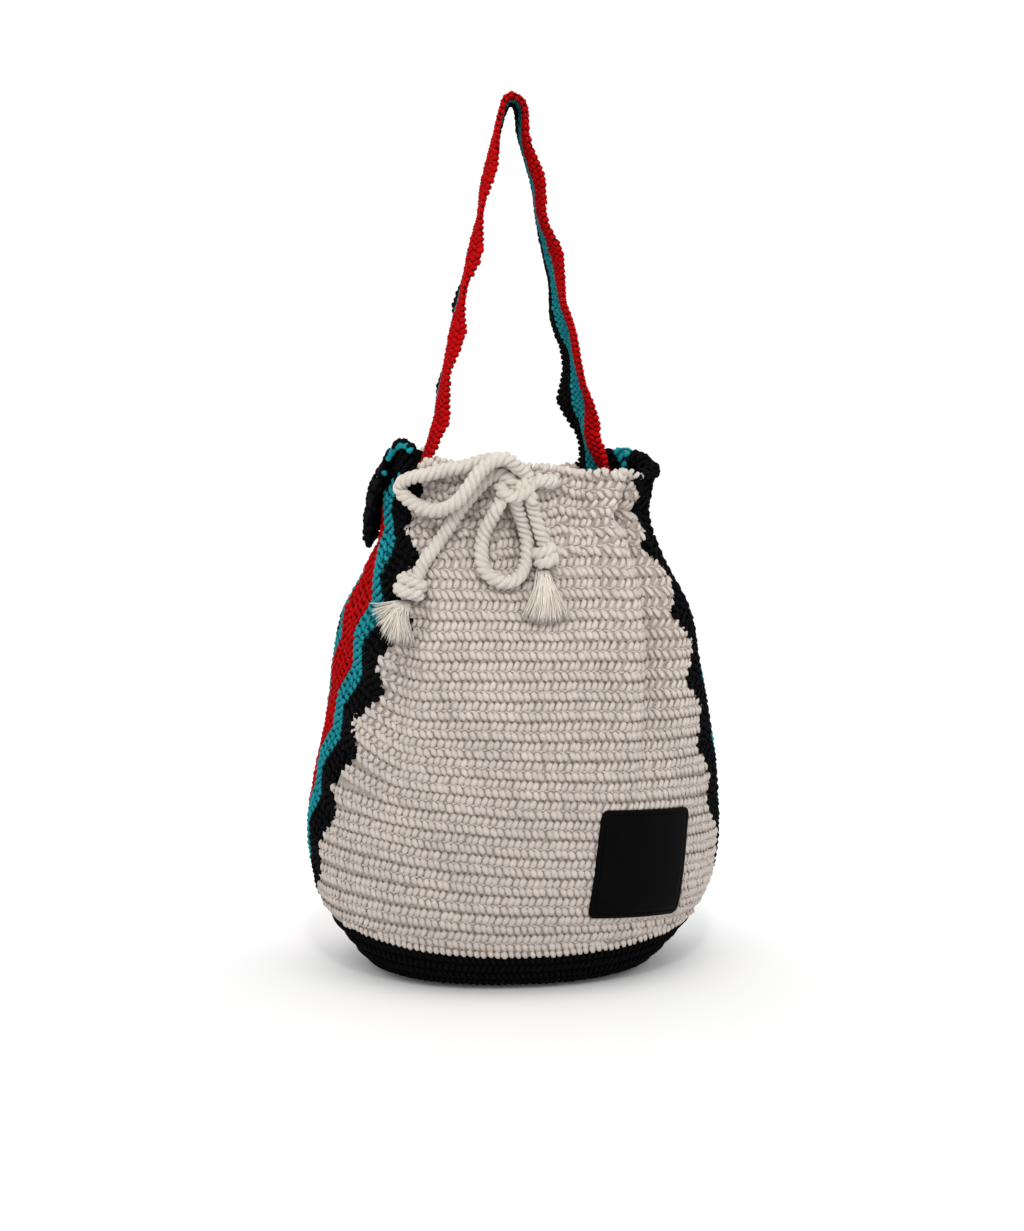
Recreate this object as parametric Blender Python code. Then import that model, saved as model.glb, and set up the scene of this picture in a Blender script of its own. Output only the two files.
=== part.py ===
"""Drawstring shoulder bag in crochet.

A bucket bag 0.30 m wide: a thick oval base, a front and a back panel, two striped
gussets whose free tops roll outward above the neck, a narrow three-stripe shoulder
strap sewn inside the gussets, a leather square on the front, and one cotton rope
round the neck, tied in a bow. The bag stands on its base with its front towards -Y.
Metres, +Z up, origin under the middle of the bag.
"""
import math

import bmesh
import bpy
import numpy as np

# Driving dimensions
WALL = 0.0055            # thickness of the crocheted panels
GAP = 0.0003             # clearance between pieces that touch
BASE_FLOOR = 0.0060      # thickness of the base
BASE_RISE = 0.0262       # height of the base's edge at the middle of the front
BASE_RISE_SIDE = 0.0110  # how much higher that edge runs at the sides
RIM_Z = 0.3625           # height of the rim at the middle of the front
RIM_SLOPE = 0.10         # the rim and the stitch rows climb towards -X
RIM_BACK_DROP = 0.014    # the back rim sits lower than the front one
ROPE_D = 0.0100
STRAP_W = 0.048
STRAP_T = 0.0045
PATCH_W, PATCH_H, PATCH_T, PATCH_R = 0.078, 0.0755, 0.0026, 0.0050
PATCH_S, PATCH_Z, PATCH_TURN = 0.0752, 0.0882, -5.0
ORIGIN = (-0.00375, -0.0010)  # brings the bag's middle over the origin

# Plan of the bag at each height: z, half width, y of the widest point, front depth and
# exponent, back depth and exponent, y of the left and right front seams, turn, x shift
LEVELS = (
    (0.000, 0.090, 0.000, 0.073, 2.2, 0.073, 2.2, 0.010, 0.010, 0.0, -0.002),
    (0.007, 0.103, 0.000, 0.084, 2.2, 0.084, 2.2, 0.010, 0.010, 0.0, -0.002),
    (0.020, 0.115, 0.000, 0.093, 2.2, 0.093, 2.2, 0.010, 0.010, 0.0, -0.001),
    (0.040, 0.132, 0.006, 0.101, 2.1, 0.102, 2.2, 0.010, 0.008, 0.0, 0.001),
    (0.062, 0.143, 0.010, 0.106, 2.0, 0.107, 2.2, 0.004, -0.004, 0.5, 0.003),
    (0.095, 0.148, 0.014, 0.107, 1.95, 0.109, 2.2, -0.016, -0.026, 1.0, 0.004),
    (0.135, 0.1455, 0.010, 0.105, 2.0, 0.107, 2.2, -0.030, -0.043, 2.0, 0.004),
    (0.180, 0.138, 0.004, 0.099, 2.3, 0.101, 2.3, -0.047, -0.055, 4.0, 0.003),
    (0.220, 0.129, 0.000, 0.091, 2.9, 0.091, 2.5, -0.060, -0.062, 6.0, 0.001),
    (0.254, 0.120, 0.000, 0.080, 3.3, 0.079, 2.6, -0.062, -0.059, 8.0, 0.000),
    (0.280, 0.108, 0.000, 0.067, 3.0, 0.065, 2.5, -0.048, -0.044, 9.0, 0.000),
    (0.300, 0.098, 0.000, 0.055, 2.7, 0.053, 2.4, -0.034, -0.031, 9.0, 0.000),
    (0.318, 0.093, 0.000, 0.049, 2.5, 0.047, 2.3, -0.027, -0.026, 9.0, 0.000),
    (0.336, 0.091, 0.000, 0.049, 2.5, 0.046, 2.3, -0.027, -0.027, 9.0, 0.000),
    (0.356, 0.090, 0.000, 0.050, 2.5, 0.047, 2.3, -0.029, -0.029, 9.0, 0.000),
    (0.390, 0.090, 0.000, 0.050, 2.5, 0.047, 2.3, -0.029, -0.029, 9.0, 0.000),
)
GUSSET_W = ((0.0, 0.112), (0.10, 0.118), (0.20, 0.118), (0.26, 0.108), (0.300, 0.082), (0.40, 0.078))
CREASE_R = ((0.15, 0.50), (0.18, 0.57), (0.22, 0.66), (0.254, 0.71), (0.29, 0.80), (0.33, 0.84))
CREASE_L = ((0.15, 0.66), (0.18, 0.74), (0.22, 0.81), (0.254, 0.86), (0.29, 0.88), (0.33, 0.90))
CREASE_DEPTH = ((0.13, 0.0), (0.17, 0.0035), (0.21, 0.0085), (0.25, 0.0105), (0.29, 0.0085), (0.32, 0.005), (0.36, 0.0025))
GATHER = ((0.20, 0.0), (0.26, 0.0006), (0.295, 0.0024), (0.318, 0.0036), (0.336, 0.0026), (0.356, 0.0022))
LEV = np.array(LEVELS)
STEP_Z, STEP_S, SPAN_S = 0.003, 0.0015, 0.42

# Rope routes on the front: arc from the middle of the front, height, stand-off from the cloth
LOOP_LEFT = (
    (-0.0176, 0.3639, 0.0195), (-0.0255, 0.3703, 0.0205), (-0.0341, 0.3681, 0.0210), (-0.0418, 0.3607, 0.0210),
    (-0.0486, 0.3499, 0.0210), (-0.0553, 0.3402, 0.0205), (-0.0645, 0.3345, 0.0165), (-0.0742, 0.3347, 0.0115),
    (-0.0832, 0.3396, 0.0100), (-0.0891, 0.3459, 0.0100), (-0.0883, 0.3516, 0.0100), (-0.0820, 0.3556, 0.0095),
    (-0.0718, 0.3585, 0.0090), (-0.0576, 0.3621, 0.0085), (-0.0488, 0.3643, 0.0085), (-0.0398, 0.3672, 0.0085),
    (-0.0308, 0.3688, 0.0085), (-0.0235, 0.3666, 0.0088))
LOOP_HANGING = (
    (-0.0283, 0.3385, 0.0142), (-0.0291, 0.3363, 0.0135), (-0.0313, 0.3306, 0.0115), (-0.0354, 0.3220, 0.0095),
    (-0.0384, 0.3130, 0.0085), (-0.0404, 0.3051, 0.0082), (-0.0406, 0.2954, 0.0080), (-0.0361, 0.2883, 0.0080),
    (-0.0281, 0.2856, 0.0080), (-0.0178, 0.2881, 0.0080), (-0.0103, 0.2966, 0.0080), (-0.0077, 0.3077, 0.0082),
    (-0.0082, 0.3171, 0.0086), (-0.0109, 0.3257, 0.0100), (-0.0147, 0.3338, 0.0125), (-0.0161, 0.3376, 0.0142))
TAIL_LEFT = (
    (-0.0277, 0.3585, 0.0090), (-0.0340, 0.3558, 0.0085), (-0.0404, 0.3496, 0.0085), (-0.0462, 0.3429, 0.0085),
    (-0.0516, 0.3360, 0.0085), (-0.0564, 0.3276, 0.0080), (-0.0617, 0.3183, 0.0075), (-0.0692, 0.3090, 0.0072),
    (-0.0771, 0.2993, 0.0072), (-0.0826, 0.2920, 0.0080))
TAIL_RIGHT = (
    (-0.0062, 0.3394, 0.0136), (-0.0054, 0.3371, 0.0120), (-0.0034, 0.3314, 0.0100), (-0.0016, 0.3258, 0.0090),
    (0.0001, 0.3202, 0.0082), (0.0020, 0.3140, 0.0078), (0.0029, 0.3093, 0.0080))
BOW_KNOT = (-0.0126, 0.3525, 0.0125)
BOW_KNOT_SIZE = (0.0135, 0.0115, 0.0085)
KNOT_LEFT = (-0.0895, 0.2815, 0.0105)
KNOT_RIGHT = (0.0052, 0.3000, 0.0100)
END_KNOT_LEFT_SIZE = (0.0115, 0.0085, 0.0085)
END_KNOT_RIGHT_SIZE = (0.0078, 0.0078, 0.0080)
RING_Z, RING_IN, RING_AT_STRAP = 0.3180, 0.0160, 0.0250


def column(table, z):
    t = np.array(table)
    return np.interp(z, t[:, 0], t[:, 1])


def level(z):
    """Every column of LEVELS at height z, smooth and without overshoot."""
    zs = LEV[:, 0]
    z = min(max(z, zs[0]), zs[-1])
    i = int(min(max(np.searchsorted(zs, z) - 1, 0), len(zs) - 2))
    d = (LEV[1:] - LEV[:-1]) / (zs[1:] - zs[:-1])[:, None]

    def slope(j):
        if j == 0 or j == len(zs) - 1:
            return d[0] if j == 0 else d[-1]
        a, b = d[j - 1], d[j]
        return np.where(a * b > 0, 2 * a * b / np.where(np.abs(a + b) < 1e-12, 1, a + b), 0)

    h = zs[i + 1] - zs[i]
    t = (z - zs[i]) / h
    return ((2 * t**3 - 3 * t**2 + 1) * LEV[i] + (t**3 - 2 * t**2 + t) * h * slope(i)
            + (3 * t**2 - 2 * t**3) * LEV[i + 1] + (t**3 - t**2) * h * slope(i + 1))


def outline(z, n=1200):
    """Closed plan outline from the back centre round -X, front and +X; arc is zero at the front centre."""
    _, a, y0, bf, nf, bb, nb, yl, yr, turn, x0 = level(z)
    th = np.linspace(-math.pi, math.pi, n + 1)
    s, c = np.sin(th), np.cos(th)
    e = 2 / np.where(c > 0, nf, nb)
    x = a * np.sign(s) * np.abs(s) ** e
    y = y0 - np.where(c > 0, bf + y0, bb - y0) * np.sign(c) * np.abs(c) ** e
    arc = np.concatenate([[0], np.cumsum(np.hypot(np.diff(x), np.diff(y)))])
    arc -= arc[n // 2]
    h = n // 2
    right = np.interp(yr, y[h:h + h // 2 + 1], arc[h:h + h // 2 + 1])
    left = np.interp(yl, y[h - h // 2:h + 1][::-1], arc[h - h // 2:h + 1][::-1])
    t = math.radians(turn)
    return (ORIGIN[0] + x0 + x * math.cos(t) - y * math.sin(t),
            ORIGIN[1] + x * math.sin(t) + y * math.cos(t), arc, left, right)


def tables():
    """Plan points on a grid of height and arc, counted from the front centre and from the back centre."""
    zs = np.arange(0.0, 0.3901, STEP_Z)
    ss = np.arange(-SPAN_S, SPAN_S + 1e-9, STEP_S)
    f, b, seam = [], [], []
    for z in zs:
        x, y, arc, left, right = outline(z)
        per = arc[-1] - arc[0]
        q = (ss - arc[0]) % per + arc[0]
        f.append(np.stack([np.interp(q, arc, x), np.interp(q, arc, y)], -1))
        q = (ss + per / 2 - arc[0]) % per + arc[0]
        b.append(np.stack([np.interp(q, arc, x), np.interp(q, arc, y)], -1))
        seam.append((left, right, per))
    return zs, ss, np.array(f), np.array(b), np.array(seam)


ZS, SS, FRONT, BACK, SEAM = tables()


def plan(s, z, table):
    """Plan point and outward normal at arc s and height z."""
    s, z = np.broadcast_arrays(np.asarray(s, float), np.asarray(z, float))
    fz = np.clip(z / STEP_Z, 0, len(ZS) - 1.001)
    fs = np.clip((s + SPAN_S) / STEP_S, 1, len(SS) - 2.001)
    i, j = fz.astype(int), fs.astype(int)
    u, v = (fz - i)[..., None], (fs - j)[..., None]
    p = ((1 - u) * ((1 - v) * table[i, j] + v * table[i, j + 1])
         + u * ((1 - v) * table[i + 1, j] + v * table[i + 1, j + 1]))
    t0 = table[i, j + 1] - table[i, j - 1]
    t1 = table[i, np.minimum(j + 2, len(SS) - 1)] - table[i, j]
    t = (1 - v) * t0 + v * t1
    t = t / np.maximum(np.linalg.norm(t, axis=-1, keepdims=True), 1e-9)
    return p, np.stack([t[..., 1], -t[..., 0]], -1)


def seam_left(z):
    return np.interp(z, ZS, SEAM[:, 0])


def seam_right(z):
    return np.interp(z, ZS, SEAM[:, 1])


def perimeter(z):
    return np.interp(z, ZS, SEAM[:, 2])


def fade(d):
    return 1 - np.exp(-(np.maximum(d, 0) / 0.009) ** 2)


def swell(s, z):
    """Outward displacement of the front: two soft pleats that fall from the neck, and the gathers round it."""
    s, z = np.broadcast_arrays(np.asarray(s, float), np.asarray(z, float))
    deep = column(CREASE_DEPTH, z)
    out = np.zeros_like(s)
    for side, table, seam in ((1, CREASE_R, seam_right(z)), (-1, CREASE_L, -seam_left(z))):
        d = side * s - column(table, z) * seam
        k = deep * (1.0 if side > 0 else 0.55)
        out += -k * np.exp(-(d / 0.0075) ** 2) + 0.35 * k * np.exp(-((d + 0.019) / 0.012) ** 2)
    out += column(GATHER, z) * (np.sin(s / 0.0043 + 1.1) * 0.6 + np.sin(s / 0.0071 + 0.4) * 0.6)
    return out * fade(seam_right(z) - s) * fade(s - seam_left(z))


def swell_back(b, z, half):
    """The same gathers on the back; b is the arc from the back centre and half the panel's half width."""
    return column(GATHER, z) * (np.sin(b / 0.0047 + 2.0) * 0.7 + np.sin(b / 0.0076) * 0.6) * fade(half - np.abs(b))


def surf(s, z, off):
    """Point at a stand-off from the outer face of the front."""
    p, n = plan(s, z, FRONT)
    q = p + n * (np.asarray(off, float) + swell(s, z))[..., None]
    return np.concatenate([q, np.broadcast_to(np.asarray(z, float), q.shape[:-1])[..., None]], -1)


def base_edge(d):
    """Height of the base's edge at arc distance d from the middle of the front or the back."""
    return BASE_RISE + BASE_RISE_SIDE * np.minimum(1, np.abs(d) / 0.14) ** 2


def material(name, colour, rough, metallic=0.0):
    m = bpy.data.materials.new(name)
    m.use_nodes = True
    b = m.node_tree.nodes["Principled BSDF"]
    b.inputs["Base Color"].default_value = (*colour, 1)
    b.inputs["Roughness"].default_value = rough
    b.inputs["Metallic"].default_value = metallic
    return m


def finish(name, bm, mat):
    bm.normal_update()
    bmesh.ops.recalc_face_normals(bm, faces=bm.faces)
    mesh = bpy.data.meshes.new(name)
    bm.to_mesh(mesh)
    bm.free()
    mesh.shade_smooth()
    mesh.set_sharp_from_angle(angle=math.radians(50))
    mesh.materials.append(mat)
    ob = bpy.data.objects.new(name, mesh)
    bpy.context.scene.collection.objects.link(ob)
    return ob


def shell(name, outer, inner, mat):
    """Closed sheet between two point grids of equal size."""
    bm = bmesh.new()
    nu, nv = outer.shape[:2]
    a = [[bm.verts.new(outer[i, j]) for j in range(nv)] for i in range(nu)]
    b = [[bm.verts.new(inner[i, j]) for j in range(nv)] for i in range(nu)]
    for i in range(nu - 1):
        for j in range(nv - 1):
            bm.faces.new((a[i][j], a[i + 1][j], a[i + 1][j + 1], a[i][j + 1]))
            bm.faces.new((b[i][j], b[i][j + 1], b[i + 1][j + 1], b[i + 1][j]))
    for i in range(nu - 1):
        bm.faces.new((a[i][0], b[i][0], b[i + 1][0], a[i + 1][0]))
        bm.faces.new((a[i][-1], a[i + 1][-1], b[i + 1][-1], b[i][-1]))
    for j in range(nv - 1):
        bm.faces.new((a[0][j], a[0][j + 1], b[0][j + 1], b[0][j]))
        bm.faces.new((a[-1][j], b[-1][j], b[-1][j + 1], a[-1][j + 1]))
    return finish(name, bm, mat)


# Rows are closer together from the shoulder of the bag up
ROWS = np.concatenate([np.linspace(0, 0.74, 13), np.linspace(0.74, 1, 10)[1:]])


def wall_grid(arc_range, columns, distance, top, table, bulge, inward):
    """Points of one wall: arc_range(z) gives its two edges and top(s) its upper edge."""
    grid = np.zeros((columns + 1, len(ROWS), 3))
    for j, v in enumerate(ROWS):
        u = np.linspace(0, 1, columns + 1)
        z = np.full_like(u, BASE_RISE + v * (RIM_Z - BASE_RISE))
        for _ in range(6):
            lo, hi = arc_range(z)
            s = lo + (hi - lo) * u
            z0 = base_edge(distance(s, z)) + GAP
            z = z0 + v * (top(s, u) - z0)
        lo, hi = arc_range(z)
        s = lo + (hi - lo) * u
        p, n = plan(s, z, table)
        q = p + n * (bulge(s, z, u) - inward)[:, None]
        grid[:, j, :2], grid[:, j, 2] = q, z
    return grid


def rim(s):
    return RIM_Z - RIM_SLOPE * s


# --- start clean -------------------------------------------------------------------------
for o in list(bpy.data.objects):
    bpy.data.objects.remove(o, do_unlink=True)

cream = material("cream cotton crochet", (0.72, 0.65, 0.55), 0.9)
cream_back = material("cream cotton crochet, back", (0.72, 0.65, 0.55), 0.9)
black = material("black cotton crochet", (0.006, 0.006, 0.008), 0.9)
stripes_left = material("striped crochet, left", (0.03, 0.33, 0.36), 0.9)
stripes_right = material("striped crochet, right", (0.03, 0.33, 0.36), 0.9)
strap_mat = material("red, teal and black strap crochet", (0.50, 0.012, 0.015), 0.9)
leather = material("black leather", (0.008, 0.008, 0.009), 0.45)
rope = material("cream cotton rope", (0.80, 0.75, 0.66), 0.85)

# --- base: an oval dish with a turned-up edge ------------------------------------------------
N_BASE = 72
bm = bmesh.new()
rings = []
angles = [2 * math.pi * k / N_BASE for k in range(N_BASE)]


def base_ring(frac, inset, z_fixed=None):
    """Ring at a fraction of the edge's height; the arc runs the same fraction of every outline."""
    pts = []
    for k in range(N_BASE):
        f = k / N_BASE - 0.5
        z = BASE_RISE
        for _ in range(5):
            per = perimeter(z if z_fixed is None else z_fixed)
            s = f * per
            d = min(abs(s), per / 2 - abs(s))
            z = float(base_edge(d)) * frac
            if z_fixed is not None:
                z = z_fixed
        p, n = plan(s, z, FRONT)
        q = p - n * inset
        pts.append(bm.verts.new((q[0], q[1], z)))
    return pts


rings.append(base_ring(0, 0, 0.0))
rings.append(base_ring(0, 0, 0.0030))
rings.append(base_ring(0, 0, 0.0090))
rings.append(base_ring(0.66, 0))
rings.append(base_ring(1.0, 0))
rings.append(base_ring(1.0, WALL))
rings.append(base_ring(0.66, WALL))
rings.append(base_ring(0, WALL, 0.0100))
rings.append(base_ring(0, WALL + 0.002, BASE_FLOOR))
for r0, r1 in zip(rings, rings[1:]):
    for k in range(N_BASE):
        bm.faces.new((r0[k], r0[(k + 1) % N_BASE], r1[(k + 1) % N_BASE], r1[k]))
bm.faces.new(rings[0])
bm.faces.new(rings[-1])
finish("base_panel", bm, black)

# --- front and back panels ------------------------------------------------------------------
HALF = GAP / 2
front_range = lambda z: (seam_left(z) + HALF, seam_right(z) - HALF)
front_args = (front_range, 34, lambda s, z: np.minimum(np.abs(s), perimeter(z) / 2 - np.abs(s)), lambda s, u: rim(s), FRONT)
shell("front_panel",
      wall_grid(*front_args, lambda s, z, u: swell(s, z), 0.0),
      wall_grid(*front_args, lambda s, z, u: swell(s, z), WALL), cream)


def back_edges(z):
    """Back seams, as arcs from the back centre (towards -X first, seen from behind it is the right one)."""
    half = perimeter(z) / 2
    left = half - (-seam_left(z) + column(GUSSET_W, z))
    right = half - (seam_right(z) + column(GUSSET_W, z))
    return -right, left


def back_top(b, u):
    """The back rim dips between the two back seams, whose heights it shares with the gussets."""
    zr = RIM_Z - RIM_SLOPE * 0.0873
    zl = RIM_Z + RIM_SLOPE * 0.0873
    end = zr + (zl - zr) * u
    return end - RIM_BACK_DROP * np.minimum(1, np.sin(np.pi * u) * 1.6) ** 2


back_range = lambda z: (back_edges(z)[0] + 2 * HALF, back_edges(z)[1] - 2 * HALF)
back_mid = lambda z: (back_edges(z)[0] + back_edges(z)[1]) / 2
back_args = (back_range, 24, lambda b, z: np.minimum(np.abs(b), perimeter(z) / 2 - np.abs(b)), back_top, BACK)
back_bulge = lambda b, z, u: swell_back(b - back_mid(z), z, (back_edges(z)[1] - back_edges(z)[0]) / 2)
shell("back_panel", wall_grid(*back_args, back_bulge, 0.0), wall_grid(*back_args, back_bulge, WALL), cream_back)


# --- gussets, with their tops rolled outward over the drawstring line ------------------------
def gusset(name, side, lift, lip, mat):
    """side is -1 at -X; lift raises the rolled top and lip is how far it stands out."""
    width = lambda z: column(GUSSET_W, z)
    if side < 0:
        span = lambda z: (seam_left(z) - width(z) + HALF, seam_left(z) - HALF)
        end = RIM_Z + RIM_SLOPE * 0.0873
    else:
        span = lambda z: (seam_right(z) + HALF, seam_right(z) + width(z) - HALF)
        end = RIM_Z - RIM_SLOPE * 0.0873

    def crown(u):
        return np.sin(np.pi * u) ** 0.8

    def top(s, u):
        at_front = u if side < 0 else 1 - u
        seam = rim(s)                                    # equals the front rim at the front seam
        return end + (seam - end) * np.clip((at_front - 0.9) / 0.1, 0, 1) + lift * crown(u)

    def bulge(s, z, u):
        rise = np.clip((z - 0.288) / 0.012, 0, 1)
        over = np.clip((z - (end + 0.4 * lift)) / 0.030, 0, 1)
        return lip * crown(u) * (rise * rise * (3 - 2 * rise)) * (1 - 0.75 * over)

    args = (span, 14, lambda s, z: np.minimum(np.abs(s), perimeter(z) / 2 - np.abs(s)), top, FRONT)
    none = lambda s, z, u: np.zeros_like(s)
    shell(name, wall_grid(*args, bulge, 0.0), wall_grid(*args, none, WALL), mat)


gusset("left_gusset", -1, 0.0125, 0.0170, stripes_left)
gusset("right_gusset", 1, 0.0080, 0.0120, stripes_right)

# --- shoulder strap ----------------------------------------------------------------------------
# Half of its line: distance from the middle, height
STRAP_LINE = (
    (0.0778, 0.300), (0.0765, 0.320), (0.0705, 0.340), (0.0600, 0.358), (0.0465, 0.386), (0.0392, 0.421),
    (0.0306, 0.458), (0.0242, 0.495), (0.0170, 0.530), (0.0116, 0.563), (0.0098, 0.577), (0.0079, 0.5890), (0.0052, 0.5985), (0.0, 0.6030))
STRAP_X = -0.0035


def smooth_line(points, step):
    """Even points along a centripetal curve through the given ones."""
    p = np.array(points, float)
    ext = np.vstack([2 * p[0] - p[1], p, 2 * p[-1] - p[-2]])
    out = []
    for i in range(1, len(ext) - 2):
        p0, p1, p2, p3 = ext[i - 1:i + 3]
        t = np.linspace(0, 1, 40, endpoint=False)[:, None]
        out.append(0.5 * (2 * p1 + (p2 - p0) * t + (2 * p0 - 5 * p1 + 4 * p2 - p3) * t**2
                          + (3 * p1 - p0 - 3 * p2 + p3) * t**3))
    out = np.vstack(out + [p[-1:]])
    arc = np.concatenate([[0], np.cumsum(np.linalg.norm(np.diff(out, axis=0), axis=1))])
    n = max(2, int(round(arc[-1] / step)))
    at = np.linspace(0, arc[-1], n + 1)
    return np.stack([np.interp(at, arc, out[:, k]) for k in range(p.shape[1])], -1)


def strap_section(height, n=8):
    """Cross-section from the back edge to the front edge: (outward, forward). Its front stripe flares outward;
    low down, inside the neck, it follows the wall instead."""
    low = np.clip((0.372 - height) / 0.040, 0, 1)
    s = np.linspace(-STRAP_W / 2, STRAP_W / 2, n + 1)
    fine = np.linspace(-STRAP_W / 2, STRAP_W / 2, 97)
    k = np.clip((fine - 0.001) / 0.013, 0, 1)
    top = np.clip((height - 0.55) / 0.05, 0, 1)
    free = math.radians(5) + (math.radians(40 + 6 * top) - math.radians(5)) * k * k * (3 - 2 * k)
    wall = -fine / (STRAP_W / 2) * math.radians(27)
    beta = free * (1 - low) + wall * low
    w = np.concatenate([[0], np.cumsum(np.sin(beta[1:]) * np.diff(fine))])
    f = np.concatenate([[0], np.cumsum(np.cos(beta[1:]) * np.diff(fine))])
    w -= np.interp(0, fine, w)
    f -= np.interp(0, fine, f)
    b = np.interp(s, fine, beta)
    return np.interp(s, fine, w), np.interp(s, fine, f), b


half_line = smooth_line([(-a, z) for a, z in STRAP_LINE], 0.0115)
line = np.vstack([half_line, half_line[:-1][::-1] * (-1, 1)])
tang = np.gradient(line, axis=0)
tang /= np.linalg.norm(tang, axis=1)[:, None]
outer, inner = [], []
for (r, z), (tr, tz) in zip(line, tang):
    w, f, b = strap_section(z)
    out_dir = np.array([-tz, tr])                        # outward in the strap's own plane
    a = math.radians(9 * np.clip((0.60 - z) / 0.22, 0, 1))
    for sign, rows in ((1, outer), (-1, inner)):
        ww = w + sign * STRAP_T / 2 * np.cos(b)
        ff = f - sign * STRAP_T / 2 * np.sin(b)
        px = r + out_dir[0] * ww
        pz = z + out_dir[1] * ww
        x = STRAP_X * np.clip((z - 0.36) / 0.06, 0, 1) + ORIGIN[0] + px * math.cos(a) + ff * math.sin(a)
        y = ORIGIN[1] + px * math.sin(a) - ff * math.cos(a)
        rows.append(np.stack([x, y, pz], -1))
shell("shoulder_strap", np.array(outer), np.array(inner), strap_mat)

# --- leather patch ------------------------------------------------------------------------------
N_P = 10
grids = []
for off in (GAP + PATCH_T, GAP):
    g = np.zeros((N_P + 1, N_P + 1, 3))
    for i in range(N_P + 1):
        for j in range(N_P + 1):
            x, y = 2 * i / N_P - 1, 2 * j / N_P - 1
            dx, dz = x * PATCH_W / 2, y * PATCH_H / 2
            if i in (0, N_P) and j in (0, N_P):          # rounded corners
                dx -= math.copysign(PATCH_R * 0.29, x)
                dz -= math.copysign(PATCH_R * 0.29, y)
            t = math.radians(PATCH_TURN)
            s = PATCH_S + dx * math.cos(t) - dz * math.sin(t)
            z = PATCH_Z + dx * math.sin(t) + dz * math.cos(t)
            g[i, j] = surf(s, z, off)
    grids.append(g)
shell("leather_patch", grids[0], grids[1], leather)


# --- drawstring -----------------------------------------------------------------------------------
def tube(name, points):
    cu = bpy.data.curves.new(name, "CURVE")
    cu.dimensions = "3D"
    cu.bevel_depth = ROPE_D / 2
    cu.bevel_resolution = 2
    cu.resolution_u = 1
    cu.render_resolution_u = 0
    cu.use_fill_caps = True
    sp = cu.splines.new("POLY")
    sp.points.add(len(points) - 1)
    for q, p in zip(sp.points, points):
        q.co = (*p, 1)
    sp.use_smooth = True
    cu.materials.append(rope)
    ob = bpy.data.objects.new(name, cu)
    bpy.context.scene.collection.objects.link(ob)
    return ob


def on_cloth(route, step=0.0075):
    p = smooth_line(route, 0.002)
    return smooth_line(surf(p[:, 0], p[:, 1], p[:, 2]), step)


tube("rope_loop_left", on_cloth(LOOP_LEFT))
tube("rope_loop_hanging", on_cloth(LOOP_HANGING))
tube("rope_tail_left", on_cloth(TAIL_LEFT))
tube("rope_tail_right", on_cloth(TAIL_RIGHT))

half_neck = perimeter(RING_Z) / 2
ring = []
for k in range(49):
    s = 0.014 + (2 * half_neck - 0.040) * k / 48
    b = s - half_neck
    p, n = plan(b, RING_Z, BACK) if abs(b) < half_neck * 0.6 else plan(s if s < half_neck else s - 2 * half_neck, RING_Z, FRONT)
    t = math.radians(9)
    side = abs((p[1] - ORIGIN[1]) * math.cos(t) - (p[0] - ORIGIN[0]) * math.sin(t))
    w = min(max((0.043 - side) / 0.013, 0), 1)           # it passes inside the strap's two ends
    q = p - n * (RING_IN + (RING_AT_STRAP - RING_IN) * w * w * (3 - 2 * w))
    ring.append((q[0], q[1], RING_Z))
tube("rope_neck_run", ring)


def lump(name, centre, size, turn=0.0):
    """Closed rounded knot laid out on the cloth: size is along the arc, up and out."""
    bm = bmesh.new()
    bmesh.ops.create_icosphere(bm, subdivisions=3, radius=1.0)
    t = math.radians(turn)
    for v in bm.verts:
        x, y, o = v.co.x * size[0], v.co.y * size[1], v.co.z * size[2]
        s = centre[0] + x * math.cos(t) - y * math.sin(t)
        z = centre[1] + x * math.sin(t) + y * math.cos(t)
        v.co = surf(s, z, centre[2] + o)
    return finish(name, bm, rope)


lump("rope_bow_knot", BOW_KNOT, BOW_KNOT_SIZE)
lump("rope_end_knot_left", KNOT_LEFT, END_KNOT_LEFT_SIZE, 25)
lump("rope_end_knot_right", KNOT_RIGHT, END_KNOT_RIGHT_SIZE)


def tassel(name, stations):
    """Frayed end: rings of (arc, height, half width, width direction in degrees, half thickness, stand-off)."""
    bm = bmesh.new()
    rings = []
    for s0, z0, hw, deg, ht, off in stations:
        t = math.radians(deg)
        ring = []
        for k in range(14):
            a = 2 * math.pi * k / 14
            d = hw * math.cos(a)
            ring.append(bm.verts.new(surf(s0 + d * math.cos(t), z0 + d * math.sin(t), off + ht * math.sin(a))))
        rings.append(ring)
    for r0, r1 in zip(rings, rings[1:]):
        for k in range(14):
            bm.faces.new((r0[k], r0[(k + 1) % 14], r1[(k + 1) % 14], r1[k]))
    bm.faces.new(rings[0])
    bm.faces.new(rings[-1])
    return finish(name, bm, rope)


tassel("rope_tassel_left", (
    (-0.0945, 0.2725, 0.0040, -25, 0.0040, 0.0062),
    (-0.0990, 0.2660, 0.0080, -32, 0.0046, 0.0060),
    (-0.1040, 0.2590, 0.0125, -40, 0.0046, 0.0056),
    (-0.1090, 0.2525, 0.0165, -46, 0.0042, 0.0052)))
tassel("rope_tassel_right", (
    (0.0000, 0.2915, 0.0042, 0, 0.0042, 0.0066),
    (-0.0002, 0.2820, 0.0080, 0, 0.0048, 0.0062),
    (-0.0006, 0.2700, 0.0130, 0, 0.0048, 0.0058),
    (-0.0010, 0.2575, 0.0180, 0, 0.0042, 0.0052)))
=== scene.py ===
import math

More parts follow.
